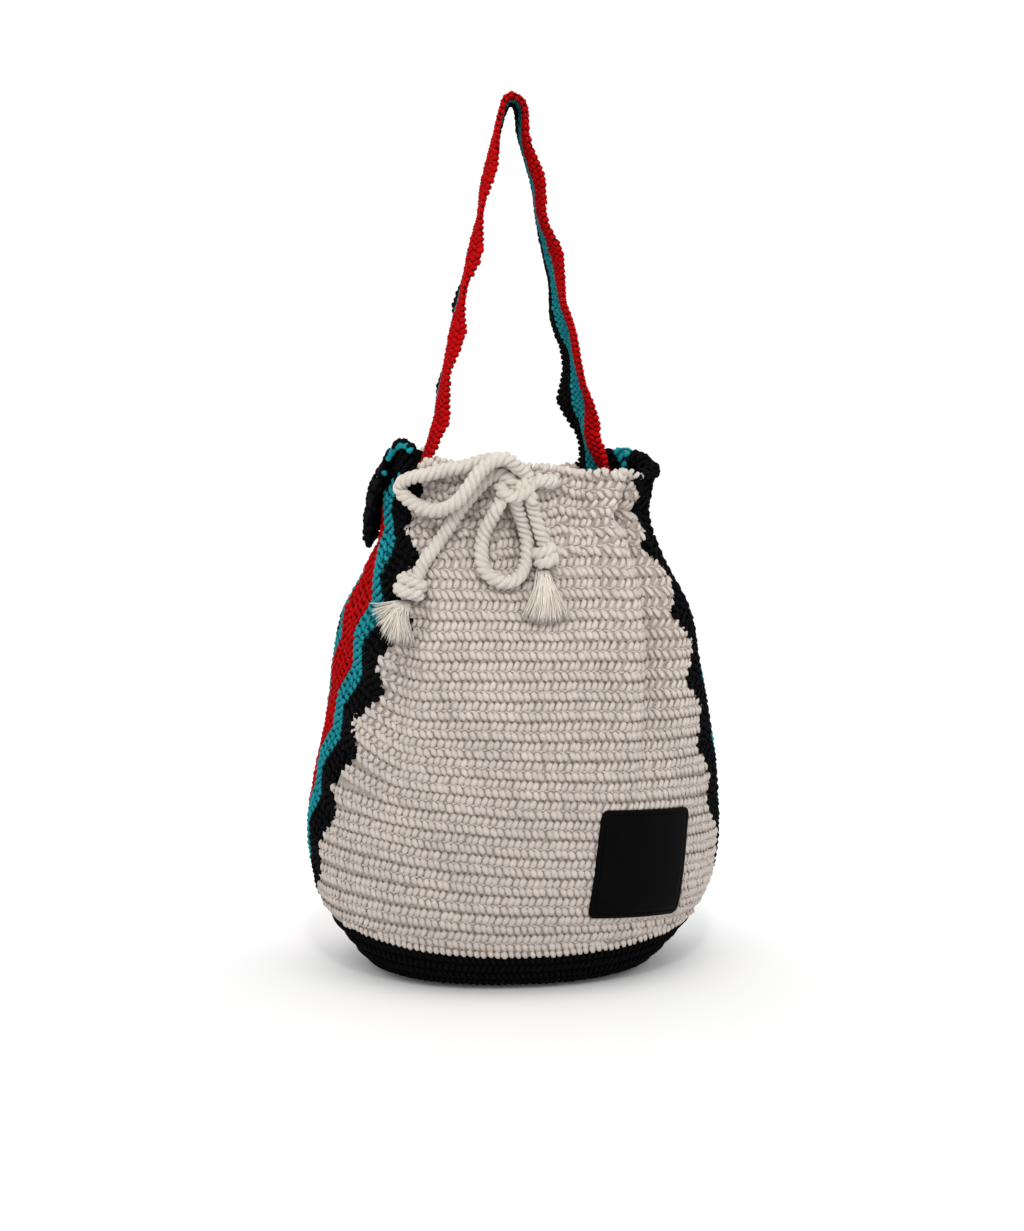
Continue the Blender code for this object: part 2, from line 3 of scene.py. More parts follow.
import bmesh
import bpy
import numpy as np
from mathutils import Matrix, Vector


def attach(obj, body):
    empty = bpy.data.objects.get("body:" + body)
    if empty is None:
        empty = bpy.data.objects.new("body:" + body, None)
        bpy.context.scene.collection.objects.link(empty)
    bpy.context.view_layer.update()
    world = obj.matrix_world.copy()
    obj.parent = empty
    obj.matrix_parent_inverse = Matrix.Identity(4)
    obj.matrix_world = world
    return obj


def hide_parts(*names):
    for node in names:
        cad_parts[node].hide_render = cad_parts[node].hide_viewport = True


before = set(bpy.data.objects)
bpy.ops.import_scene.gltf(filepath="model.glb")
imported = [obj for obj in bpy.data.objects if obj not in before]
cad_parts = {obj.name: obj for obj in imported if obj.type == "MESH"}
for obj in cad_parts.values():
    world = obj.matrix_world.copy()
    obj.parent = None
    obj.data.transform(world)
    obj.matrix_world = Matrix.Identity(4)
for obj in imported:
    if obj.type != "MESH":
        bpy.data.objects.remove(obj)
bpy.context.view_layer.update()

rng = np.random.default_rng(7992)

# ---------------------------------------------------------------------------------------------
# The bag's shape, as in the CAD: plan outlines by height
# ---------------------------------------------------------------------------------------------
WALL = 0.0055
BASE_RISE, BASE_RISE_SIDE = 0.0262, 0.0110
RIM_Z, RIM_SLOPE, RIM_BACK_DROP = 0.3625, 0.10, 0.014
ROPE_D = 0.0100
PATCH_W, PATCH_H, PATCH_S, PATCH_Z, PATCH_TURN = 0.078, 0.0755, 0.0752, 0.0882, -5.0
ORIGIN = (-0.00375, -0.0010)
# Plan of the bag at each height: z, half width, y of the widest point, front depth and
# exponent, back depth and exponent, y of the left and right front seams, turn, x shift
LEVELS = (
    (0.000, 0.090, 0.000, 0.073, 2.2, 0.073, 2.2, 0.010, 0.010, 0.0, -0.002),
    (0.007, 0.103, 0.000, 0.084, 2.2, 0.084, 2.2, 0.010, 0.010, 0.0, -0.002),
    (0.020, 0.115, 0.000, 0.093, 2.2, 0.093, 2.2, 0.010, 0.010, 0.0, -0.001),
    (0.040, 0.132, 0.006, 0.101, 2.1, 0.102, 2.2, 0.010, 0.008, 0.0, 0.001),
    (0.062, 0.143, 0.010, 0.106, 2.0, 0.107, 2.2, 0.004, -0.004, 0.5, 0.003),
    (0.095, 0.148, 0.014, 0.107, 1.95, 0.109, 2.2, -0.016, -0.026, 1.0, 0.004),
    (0.135, 0.1455, 0.010, 0.105, 2.0, 0.107, 2.2, -0.030, -0.043, 2.0, 0.004),
    (0.180, 0.138, 0.004, 0.099, 2.3, 0.101, 2.3, -0.047, -0.055, 4.0, 0.003),
    (0.220, 0.129, 0.000, 0.091, 2.9, 0.091, 2.5, -0.060, -0.062, 6.0, 0.001),
    (0.254, 0.120, 0.000, 0.080, 3.3, 0.079, 2.6, -0.062, -0.059, 8.0, 0.000),
    (0.280, 0.108, 0.000, 0.067, 3.0, 0.065, 2.5, -0.048, -0.044, 9.0, 0.000),
    (0.300, 0.098, 0.000, 0.055, 2.7, 0.053, 2.4, -0.034, -0.031, 9.0, 0.000),
    (0.318, 0.093, 0.000, 0.049, 2.5, 0.047, 2.3, -0.027, -0.026, 9.0, 0.000),
    (0.336, 0.091, 0.000, 0.049, 2.5, 0.046, 2.3, -0.027, -0.027, 9.0, 0.000),
    (0.356, 0.090, 0.000, 0.050, 2.5, 0.047, 2.3, -0.029, -0.029, 9.0, 0.000),
    (0.390, 0.090, 0.000, 0.050, 2.5, 0.047, 2.3, -0.029, -0.029, 9.0, 0.000),
)
GUSSET_W = ((0.0, 0.112), (0.10, 0.118), (0.20, 0.118), (0.26, 0.108), (0.300, 0.082), (0.40, 0.078))
CREASE_R = ((0.15, 0.50), (0.18, 0.57), (0.22, 0.66), (0.254, 0.71), (0.29, 0.80), (0.33, 0.84))
CREASE_L = ((0.15, 0.66), (0.18, 0.74), (0.22, 0.81), (0.254, 0.86), (0.29, 0.88), (0.33, 0.90))
CREASE_DEPTH = ((0.13, 0.0), (0.17, 0.0035), (0.21, 0.0085), (0.25, 0.0105), (0.29, 0.0085), (0.32, 0.005), (0.36, 0.0025))
GATHER = ((0.20, 0.0), (0.26, 0.0006), (0.295, 0.0024), (0.318, 0.0036), (0.336, 0.0026), (0.356, 0.0022))
LEV = np.array(LEVELS)
STEP_Z, STEP_S, SPAN_S = 0.003, 0.0015, 0.42


def column(table, z):
    t = np.array(table)
    return np.interp(z, t[:, 0], t[:, 1])


def level(z):
    """Every column of LEVELS at height z, smooth and without overshoot."""
    zs = LEV[:, 0]
    z = min(max(z, zs[0]), zs[-1])
    i = int(min(max(np.searchsorted(zs, z) - 1, 0), len(zs) - 2))
    d = (LEV[1:] - LEV[:-1]) / (zs[1:] - zs[:-1])[:, None]

    def slope(j):
        if j == 0 or j == len(zs) - 1:
            return d[0] if j == 0 else d[-1]
        a, b = d[j - 1], d[j]
        return np.where(a * b > 0, 2 * a * b / np.where(np.abs(a + b) < 1e-12, 1, a + b), 0)

    h = zs[i + 1] - zs[i]
    t = (z - zs[i]) / h
    return ((2 * t**3 - 3 * t**2 + 1) * LEV[i] + (t**3 - 2 * t**2 + t) * h * slope(i)
            + (3 * t**2 - 2 * t**3) * LEV[i + 1] + (t**3 - t**2) * h * slope(i + 1))


def outline(z, n=1200):
    """Closed plan outline from the back centre round -X, front and +X; arc is zero at the front centre."""
    _, a, y0, bf, nf, bb, nb, yl, yr, turn, x0 = level(z)
    th = np.linspace(-math.pi, math.pi, n + 1)
    s, c = np.sin(th), np.cos(th)
    e = 2 / np.where(c > 0, nf, nb)
    x = a * np.sign(s) * np.abs(s) ** e
    y = y0 - np.where(c > 0, bf + y0, bb - y0) * np.sign(c) * np.abs(c) ** e
    arc = np.concatenate([[0], np.cumsum(np.hypot(np.diff(x), np.diff(y)))])
    arc -= arc[n // 2]
    h = n // 2
    right = np.interp(yr, y[h:h + h // 2 + 1], arc[h:h + h // 2 + 1])
    left = np.interp(yl, y[h - h // 2:h + 1][::-1], arc[h - h // 2:h + 1][::-1])
    t = math.radians(turn)
    return (ORIGIN[0] + x0 + x * math.cos(t) - y * math.sin(t),
            ORIGIN[1] + x * math.sin(t) + y * math.cos(t), arc, left, right)


def tables():
    """Plan points on a grid of height and arc, counted from the front centre and from the back centre."""
    zs = np.arange(0.0, 0.3901, STEP_Z)
    ss = np.arange(-SPAN_S, SPAN_S + 1e-9, STEP_S)
    f, b, seam = [], [], []
    for z in zs:
        x, y, arc, left, right = outline(z)
        per = arc[-1] - arc[0]
        q = (ss - arc[0]) % per + arc[0]
        f.append(np.stack([np.interp(q, arc, x), np.interp(q, arc, y)], -1))
        q = (ss + per / 2 - arc[0]) % per + arc[0]
        b.append(np.stack([np.interp(q, arc, x), np.interp(q, arc, y)], -1))
        seam.append((left, right, per))
    return zs, ss, np.array(f), np.array(b), np.array(seam)


ZS, SS, FRONT, BACK, SEAM = tables()


def plan(s, z, table):
    """Plan point and outward normal at arc s and height z."""
    s, z = np.broadcast_arrays(np.asarray(s, float), np.asarray(z, float))
    fz = np.clip(z / STEP_Z, 0, len(ZS) - 1.001)
    fs = np.clip((s + SPAN_S) / STEP_S, 1, len(SS) - 2.001)
    i, j = fz.astype(int), fs.astype(int)
    u, v = (fz - i)[..., None], (fs - j)[..., None]
    p = ((1 - u) * ((1 - v) * table[i, j] + v * table[i, j + 1])
         + u * ((1 - v) * table[i + 1, j] + v * table[i + 1, j + 1]))
    t0 = table[i, j + 1] - table[i, j - 1]
    t1 = table[i, np.minimum(j + 2, len(SS) - 1)] - table[i, j]
    t = (1 - v) * t0 + v * t1
    t = t / np.maximum(np.linalg.norm(t, axis=-1, keepdims=True), 1e-9)
    return p, np.stack([t[..., 1], -t[..., 0]], -1)


def seam_left(z):
    return np.interp(z, ZS, SEAM[:, 0])


def seam_right(z):
    return np.interp(z, ZS, SEAM[:, 1])


def perimeter(z):
    return np.interp(z, ZS, SEAM[:, 2])


def fade(d):
    return 1 - np.exp(-(np.maximum(d, 0) / 0.009) ** 2)


def swell(s, z):
    """Outward displacement of the front: two soft pleats that fall from the neck, and the gathers round it."""
    s, z = np.broadcast_arrays(np.asarray(s, float), np.asarray(z, float))
    deep = column(CREASE_DEPTH, z)
    out = np.zeros_like(s)
    for side, table, seam in ((1, CREASE_R, seam_right(z)), (-1, CREASE_L, -seam_left(z))):
        d = side * s - column(table, z) * seam
        k = deep * (1.6 if side > 0 else 0.8)
        out += -k * np.exp(-(d / np.where(d < 0, 0.0065, 0.018)) ** 2) + 0.35 * k * np.exp(-((d + 0.019) / 0.012) ** 2)
    out += column(GATHER, z) * (np.sin(s / 0.0043 + 1.1) * 0.6 + np.sin(s / 0.0071 + 0.4) * 0.6)
    return out * fade(seam_right(z) - s) * fade(s - seam_left(z))


def swell_back(b, z, half):
    """The same gathers on the back; b is the arc from the back centre and half the panel's half width."""
    return column(GATHER, z) * (np.sin(b / 0.0047 + 2.0) * 0.7 + np.sin(b / 0.0076) * 0.6) * fade(half - np.abs(b))


def surf(s, z, off):
    """Point at a stand-off from the outer face of the front."""
    p, n = plan(s, z, FRONT)
    q = p + n * (np.asarray(off, float) + swell(s, z))[..., None]
    return np.concatenate([q, np.broadcast_to(np.asarray(z, float), q.shape[:-1])[..., None]], -1)


def base_edge(d):
    """Height of the base's edge at arc distance d from the middle of the front or the back."""
    return BASE_RISE + BASE_RISE_SIDE * np.minimum(1, np.abs(d) / 0.14) ** 2



# ---------------------------------------------------------------------------------------------
# Camera
# ---------------------------------------------------------------------------------------------
CAM_AZ, CAM_DIST, CAM_H, CAM_TARGET_Z, CAM_LENS = math.radians(-9.0), 2.4, 0.62, 0.2505, 100.3
cam_data = bpy.data.cameras.new("camera")
cam_data.lens = CAM_LENS
cam_data.sensor_width = 36.0
cam_data.clip_start, cam_data.clip_end = 0.05, 50
cam = bpy.data.objects.new("camera", cam_data)
bpy.context.scene.collection.objects.link(cam)
cam.location = (ORIGIN[0] + math.sin(CAM_AZ) * CAM_DIST, ORIGIN[1] - math.cos(CAM_AZ) * CAM_DIST, CAM_H)
aim = Vector((ORIGIN[0], ORIGIN[1], CAM_TARGET_Z)) - Vector(cam.location)
cam.rotation_euler = aim.to_track_quat("-Z", "Y").to_euler()
bpy.context.scene.camera = cam

# ---------------------------------------------------------------------------------------------
# Helpers
# ---------------------------------------------------------------------------------------------


def unit(v):
    return v / np.maximum(np.linalg.norm(v, axis=-1, keepdims=True), 1e-12)


def smooth(x):
    x = np.clip(x, 0, 1)
    return x * x * (3 - 2 * x)


def tri(x):
    """Triangle wave, 1 at whole numbers and -1 half-way between."""
    return 4 * np.abs(x - np.floor(x) - 0.5) - 1


def wander(a, b, seed, size):
    """Smooth repeatable noise of two coordinates, about -1 to 1."""
    g = np.random.default_rng(seed)
    out = 0
    for k in range(5):
        fx, fy = g.normal(size=2)
        out = out + np.sin((a * fx + b * fy) / size * 2.4 + g.uniform(0, 6.28))
    return out / 2.6


def link(name, verts, faces, mats, index=None, tone=None, smooth_shade=True):
    me = bpy.data.meshes.new(name)
    me.from_pydata(np.asarray(verts).tolist(), [], faces)
    for m in mats:
        me.materials.append(m)
    if index is not None:
        me.polygons.foreach_set("material_index", np.asarray(index, dtype=np.int32))
    if smooth_shade:
        me.shade_smooth()
    if tone is not None:
        at = me.attributes.new("tone", "FLOAT", "POINT")
        at.data.foreach_set("value", np.asarray(tone, dtype=np.float32))
    me.update()
    ob = bpy.data.objects.new(name, me)
    bpy.context.scene.collection.objects.link(ob)
    return ob


class Stitches:
    """Collects plump strands of yarn and makes one mesh of them."""

    def __init__(self, sides=5):
        self.sides, self.v, self.q, self.t, self.mq, self.mt, self.tone, self.n = sides, [], [], [], [], [], [], 0

    def add(self, P, N, ra, rn, mat=0, tone=0.0):
        """P (n,K,3) are centre lines whose two ends are points, N the cloth's normals, ra and rn (n,K) the half widths."""
        n, K = P.shape[:2]
        if n == 0:
            return
        S = self.sides
        T = np.gradient(P, axis=1)
        T = unit(T)
        B = unit(np.cross(N, T))
        N2 = np.cross(T, B)
        a = 2 * np.pi * np.arange(S) / S + np.pi / 2
        ring = (P[:, 1:-1, None] + (ra[:, 1:-1, None] * np.cos(a))[..., None] * B[:, 1:-1, None]
                + (rn[:, 1:-1, None] * np.sin(a))[..., None] * N2[:, 1:-1, None])
        verts = np.concatenate([P[:, :1], ring.reshape(n, -1, 3), P[:, -1:]], 1)
        nv = verts.shape[1]
        quads, tris = [], []
        for k in range(K - 3):
            for j in range(S):
                a0, a1 = 1 + k * S + j, 1 + k * S + (j + 1) % S
                quads.append((a0, a1, a1 + S, a0 + S))
        last = 1 + (K - 3) * S
        for j in range(S):
            tris.append((0, 1 + (j + 1) % S, 1 + j))
            tris.append((nv - 1, last + j, last + (j + 1) % S))
        base = self.n + nv * np.arange(n)[:, None, None]
        self.q.append((np.array(quads)[None] + base).reshape(-1, 4))
        self.t.append((np.array(tris)[None] + base).reshape(-1, 3))
        mat = np.broadcast_to(np.asarray(mat), (n,))
        self.mq.append(np.repeat(mat, len(quads)))
        self.mt.append(np.repeat(mat, len(tris)))
        tone = np.broadcast_to(np.asarray(tone, float), (n,))
        self.tone.append(np.repeat(tone, nv))
        self.v.append(verts.reshape(-1, 3))
        self.n += nv * n

    def make(self, name, mats):
        faces = np.concatenate(self.q).tolist() + np.concatenate(self.t).tolist()
        index = np.concatenate([np.concatenate(self.mq), np.concatenate(self.mt)])
        return link(name, np.concatenate(self.v), faces, mats, index, np.concatenate(self.tone))


def normals_of(M, s, z, o):
    return unit(M(s, z, o + 0.002) - M(s, z, o - 0.002))


def lay(st, M, s, z, e1, e2, u, v, o, ra, rn, mat=0, tone=0.0, jit=0.00022):
    """Strands at cloth points (s, z): u runs along e1 and v along e2, o is the height over the cloth; all (K,) lists."""
    n, K = len(s), len(u)
    if n == 0:
        return
    u = np.asarray(u)[None] * (1 + 0.06 * rng.normal(size=(n, 1))) + jit * rng.normal(size=(n, 1))
    v = np.asarray(v)[None] * (1 + 0.03 * rng.normal(size=(n, 1))) + jit * rng.normal(size=(n, 1))
    o = np.asarray(o)[None] + 0.7 * jit * rng.normal(size=(n, 1))
    e1, e2 = np.asarray(e1, float), np.asarray(e2, float)
    if e1.ndim == 1:
        e1, e2 = np.broadcast_to(e1, (n, 2)), np.broadcast_to(e2, (n, 2))
    S = s[:, None] + u * e1[:, None, 0] + v * e2[:, None, 0]
    Z = z[:, None] + u * e1[:, None, 1] + v * e2[:, None, 1]
    O = np.broadcast_to(o, S.shape)
    P = M(S, Z, O)
    N = normals_of(M, S, Z, O)
    k = (1 + 0.06 * rng.normal(size=(n, 1)))
    st.add(P, N, np.asarray(ra)[None] * k, np.asarray(rn)[None] * k, mat, tone)


def cloth(name, M, S, Z, o_out, o_in, mats, index=None):
    """Closed thin sheet between two heights over a grid of cloth points."""
    nu, nv = S.shape
    A = M(S, Z, np.full(S.shape, o_out)).reshape(-1, 3)
    B = M(S, Z, np.full(S.shape, o_in)).reshape(-1, 3)
    nA = len(A)
    I = np.arange(nu * nv).reshape(nu, nv)
    f = np.stack([I[:-1, :-1], I[1:, :-1], I[1:, 1:], I[:-1, 1:]], -1).reshape(-1, 4)
    g = f[:, ::-1] + nA
    side = []
    for ring in (I[:, 0], I[-1, :], I[::-1, -1], I[0, ::-1]):
        side.append(np.stack([ring[1:], ring[:-1], ring[:-1] + nA, ring[1:] + nA], -1))
    side = np.concatenate(side)
    faces = np.concatenate([f, g, side])
    p = A[f]
    nrm = np.cross(p[:, 2] - p[:, 0], p[:, 3] - p[:, 1]).sum(0)
    d = (A - B).reshape(nu, nv, 3)
    out = (np.cross(p[:, 2] - p[:, 0], p[:, 3] - p[:, 1]) * d.reshape(-1, 3)[f[:, 0]]).sum()
    if out < 0:
        faces = faces[:, ::-1]
    idx = None
    if index is not None:
        idx = np.concatenate([index, index, np.zeros(len(side), int)])
    ob = link(name, np.concatenate([A, B]), faces.tolist(), mats, idx)
    ob.data.set_sharp_from_angle(angle=math.radians(60))
    return ob


def line_through(points, step):
    """Even points along a smooth curve through the given ones."""
    p = np.array(points, float)
    ext = np.vstack([2 * p[0] - p[1], p, 2 * p[-1] - p[-2]])
    out = []
    for i in range(1, len(ext) - 2):
        p0, p1, p2, p3 = ext[i - 1:i + 3]
        t = np.linspace(0, 1, 40, endpoint=False)[:, None]
        out.append(0.5 * (2 * p1 + (p2 - p0) * t + (2 * p0 - 5 * p1 + 4 * p2 - p3) * t**2
                          + (3 * p1 - p0 - 3 * p2 + p3) * t**3))
    out = np.vstack(out + [p[-1:]])
    arc = np.concatenate([[0], np.cumsum(np.linalg.norm(np.diff(out, axis=0), axis=1))])
    n = max(2, int(round(arc[-1] / step)))
    at = np.linspace(0, arc[-1], n + 1)
    return np.stack([np.interp(at, arc, out[:, k]) for k in range(p.shape[1])], -1)


def length_of(p):
    return float(np.linalg.norm(np.diff(np.asarray(p), axis=0), axis=1).sum())


# ---------------------------------------------------------------------------------------------
# Materials
# ---------------------------------------------------------------------------------------------


def node(tree, kind, **props):
    n = tree.nodes.new(kind)
    for k, v in props.items():
        setattr(n, k, v)
    return n


def yarn(name, colour, spread=0.16, rough=0.88, sheen=0.25, grain=1500.0, bump=0.35, shade=0.72, tint=None, spec=0.25):
    """Cotton yarn: fibre mottling, a tone that differs from stitch to stitch, and fine fuzz in the bump."""
    m = bpy.data.materials.new(name)
    m.use_nodes = True
    t = m.node_tree
    b = t.nodes["Principled BSDF"]
    b.inputs["Roughness"].default_value = rough
    b.inputs["Sheen Weight"].default_value = sheen
    b.inputs["Sheen Roughness"].default_value = 0.5
    b.inputs["Specular IOR Level"].default_value = spec
    co = node(t, "ShaderNodeTexCoord")
    big = node(t, "ShaderNodeTexNoise")
    big.inputs["Scale"].default_value = 260.0
    big.inputs["Detail"].default_value = 3.0
    fine = node(t, "ShaderNodeTexNoise")
    fine.inputs["Scale"].default_value = grain
    fine.inputs["Detail"].default_value = 4.0
    tone = node(t, "ShaderNodeAttribute", attribute_name="tone")
    t.links.new(co.outputs["Object"], big.inputs["Vector"])
    t.links.new(co.outputs["Object"], fine.inputs["Vector"])
    ramp = node(t, "ShaderNodeValToRGB")
    dark = [c * shade for c in colour]
    light = tint or [min(1.0, c * (1 + spread)) for c in colour]
    ramp.color_ramp.elements[0].position, ramp.color_ramp.elements[0].color = 0.22, (*dark, 1)
    ramp.color_ramp.elements[1].position, ramp.color_ramp.elements[1].color = 0.80, (*light, 1)
    add = node(t, "ShaderNodeMath", operation="ADD")
    half = node(t, "ShaderNodeMath", operation="MULTIPLY_ADD")
    half.inputs[1].default_value, half.inputs[2].default_value = 0.5, 0.25
    t.links.new(fine.outputs["Fac"], half.inputs[0])
    mixf = node(t, "ShaderNodeMath", operation="MULTIPLY_ADD")
    mixf.inputs[1].default_value, mixf.inputs[2].default_value = 0.6, -0.05
    t.links.new(big.outputs["Fac"], mixf.inputs[0])
    t.links.new(half.outputs[0], add.inputs[0])
    t.links.new(mixf.outputs[0], add.inputs[1])
    add2 = node(t, "ShaderNodeMath", operation="ADD")
    t.links.new(add.outputs[0], add2.inputs[0])
    t.links.new(tone.outputs["Fac"], add2.inputs[1])
    sc = node(t, "ShaderNodeMath", operation="SUBTRACT")
    sc.inputs[1].default_value = 0.22
    t.links.new(add2.outputs[0], sc.inputs[0])
    t.links.new(sc.outputs[0], ramp.inputs["Fac"])
    t.links.new(ramp.outputs["Color"], b.inputs["Base Color"])
    bp = node(t, "ShaderNodeBump")
    bp.inputs["Strength"].default_value = bump
    bp.inputs["Distance"].default_value = 0.0004
    t.links.new(fine.outputs["Fac"], bp.inputs["Height"])
    t.links.new(bp.outputs["Normal"], b.inputs["Normal"])
    return m


def knit(name, colour, rough=0.9, shade=0.55, spec=0.2):
    """The body of a crocheted sheet, seen between its stitches and on its inside: rows of small dark gaps, painted
    shade that darkens the edges of its cells.
    """
    m = bpy.data.materials.new(name)
    m.use_nodes = True
    t = m.node_tree
    b = t.nodes["Principled BSDF"]
    b.inputs["Roughness"].default_value = rough
    b.inputs["Specular IOR Level"].default_value = spec
    co = node(t, "ShaderNodeTexCoord")
    mp = node(t, "ShaderNodeMapping")
    mp.inputs["Scale"].default_value = (1.0, 1.0, 0.72)
    v = node(t, "ShaderNodeTexVoronoi")
    v.inputs["Scale"].default_value = 230.0
    v.inputs["Randomness"].default_value = 0.55
    fine = node(t, "ShaderNodeTexNoise")
    fine.inputs["Scale"].default_value = 1400.0
    t.links.new(co.outputs["Object"], mp.inputs["Vector"])
    t.links.new(mp.outputs["Vector"], v.inputs["Vector"])
    t.links.new(co.outputs["Object"], fine.inputs["Vector"])
    ramp = node(t, "ShaderNodeValToRGB")
    ramp.color_ramp.elements[0].position, ramp.color_ramp.elements[0].color = 0.15, (*colour, 1)
    ramp.color_ramp.elements[1].position, ramp.color_ramp.elements[1].color = 0.75, (*[c * shade for c in colour], 1)
    t.links.new(v.outputs["Distance"], ramp.inputs["Fac"])
    t.links.new(ramp.outputs["Color"], b.inputs["Base Color"])
    mix = node(t, "ShaderNodeMath", operation="MULTIPLY_ADD")
    mix.inputs[1].default_value = -1.0
    t.links.new(v.outputs["Distance"], mix.inputs[0])
    t.links.new(fine.outputs["Fac"], mix.inputs[2])
    bp = node(t, "ShaderNodeBump")
    bp.inputs["Strength"].default_value = 0.8
    bp.inputs["Distance"].default_value = 0.0016
    t.links.new(mix.outputs[0], bp.inputs["Height"])
    t.links.new(bp.outputs["Normal"], b.inputs["Normal"])
    return m


def rope_yarn(name, colour):
    """Cotton rope: each strand shows its own fine yarns, laid the other way from the strands."""
    m = yarn(name, colour, spread=0.10, rough=0.85, sheen=0.3, grain=1300.0, bump=0.3, shade=0.80)
    t = m.node_tree
    b = t.nodes["Principled BSDF"]
    uv = node(t, "ShaderNodeUVMap", uv_map="lay")
    mp = node(t, "ShaderNodeMapping")
    mp.inputs["Rotation"].default_value = (0, 0, math.radians(12))
    w = node(t, "ShaderNodeTexWave", wave_type="BANDS", bands_direction="X")
    w.inputs["Scale"].default_value = 1.9
    w.inputs["Distortion"].default_value = 1.4
    w.inputs["Detail"].default_value = 1.5
    t.links.new(uv.outputs["UV"], mp.inputs["Vector"])
    t.links.new(mp.outputs["Vector"], w.inputs["Vector"])
    old = next(n for n in t.nodes if n.type == "BUMP")
    bp = node(t, "ShaderNodeBump")
    bp.inputs["Strength"].default_value = 0.55
    bp.inputs["Distance"].default_value = 0.0005
    t.links.new(w.outputs["Fac"], bp.inputs["Height"])
    t.links.new(old.outputs["Normal"], bp.inputs["Normal"])
    t.links.new(bp.outputs["Normal"], b.inputs["Normal"])
    return m


CREAM = (0.515, 0.455, 0.412)
cream = yarn("cream cotton yarn", CREAM, spread=0.16, shade=0.80, sheen=0.10)
# The crochet behind the stitches is given darker than its yarn (cream, teal, red): painted shade behind the stitches.
cream_cloth = knit("cream crochet behind the stitches", (0.475, 0.415, 0.370), shade=0.7)
holes = yarn("shade in the holes between the rows", (0.17, 0.125, 0.09), spread=0.3, sheen=0.0, spec=0.05)
black = yarn("black cotton yarn", (0.0020, 0.0020, 0.0025), spread=0.9, shade=0.6, sheen=0.0, rough=0.9, spec=0.045)
black_cloth = knit("black crochet behind the stitches", (0.0020, 0.0020, 0.0024), spec=0.05)
teal = yarn("teal cotton yarn", (0.011, 0.225, 0.262), spread=0.22, shade=0.70, sheen=0.0, spec=0.06)
teal_cloth = knit("teal crochet behind the stitches", (0.012, 0.17, 0.20), spec=0.1)
red = yarn("red cotton yarn", (0.38, 0.002, 0.003), spread=0.22, shade=0.66, sheen=0.0, spec=0.04)
red_cloth = knit("red crochet behind the stitches", (0.26, 0.003, 0.004), spec=0.08)
rope = rope_yarn("cream cotton rope", (0.70, 0.635, 0.565))
frayed = yarn("frayed cotton ends", (0.70, 0.635, 0.56), spread=0.1, shade=0.82, sheen=0.3)

# ---------------------------------------------------------------------------------------------
# The drawstring: two visible cords of one 10 mm rope, their knots and frayed ends
# ---------------------------------------------------------------------------------------------
ROPE_R = ROPE_D / 2
LAY = 0.0155


def lobed(name, pts, r=ROPE_R, lay_length=LAY, close=False, start=0.0, ends=True):
    """Three-strand rope along points: a surface with three lobes that turn with the lay."""
    pts = np.asarray(pts, float)
    n = len(pts)
    T = np.gradient(pts, axis=0)
    if close:
        T = np.roll(pts, -1, 0) - np.roll(pts, 1, 0)
    T = unit(T)
    ref = np.array([0.0, 0.0, 1.0]) if abs(T[0, 2]) < 0.9 else np.array([0.0, 1.0, 0.0])
    u = unit(np.cross(T[0], ref))
    frames = []
    for k in range(n):
        u = unit(u - T[k] * (u @ T[k]))
        frames.append(u)
    U = np.array(frames)
    V = np.cross(T, U)
    arc = np.concatenate([[0], np.cumsum(np.linalg.norm(np.diff(pts, axis=0), axis=1))])
    sides = 24
    phi = 2 * np.pi * np.arange(sides) / sides
    lobe = 0.68 + 0.36 * np.abs(np.cos(1.5 * phi)) ** 0.75
    turn = 2 * np.pi * arc / lay_length + start
    ang = phi[None] - turn[:, None]                     # the lay
    swell_r = r * (1 + 0.03 * np.sin(arc / 0.009 + start))[:, None] * lobe[None]
    ring = (pts[:, None] + (swell_r * np.cos(ang))[..., None] * U[:, None]
            + (swell_r * np.sin(ang))[..., None] * V[:, None])
    verts = ring.reshape(-1, 3)
    faces, uvs = [], []
    last = n if close else n - 1
    for k in range(last):
        k2 = (k + 1) % n
        for j in range(sides):
            j2 = (j + 1) % sides
            faces.append((k * sides + j, k * sides + j2, k2 * sides + j2, k2 * sides + j))
            a0, a1 = j / sides * 3 * 5, (j + 1) / sides * 3 * 5
            l0, l1 = arc[k] / 0.004, (arc[k + 1] if k + 1 < n else arc[k] + 0.0015) / 0.004
            uvs += [(a0, l0), (a1, l0), (a1, l1), (a0, l1)]
    if not close:
        c0, c1 = len(verts), len(verts) + 1
        verts = np.vstack([verts, pts[0] - T[0] * r * 0.3, pts[-1] + T[-1] * r * 0.3])
        for j in range(sides):
            j2 = (j + 1) % sides
            faces.append((c0, j2, j))
            faces.append((c1, (n - 1) * sides + j, (n - 1) * sides + j2))
            uvs += [(0, 0), (0, 1), (1, 1)] * 2
    tone = np.full(len(verts), 0.0)
    ob = link(name, verts, faces, [rope], None, tone)
    layer = ob.data.uv_layers.new(name="lay")
    layer.data.foreach_set("uv", np.array(uvs, dtype=np.float32).ravel())
    return ob


def on_cloth(route, step=0.0014):
    p = line_through(route, 0.002)
    return line_through(surf(p[:, 0], p[:, 1], p[:, 2]), step)


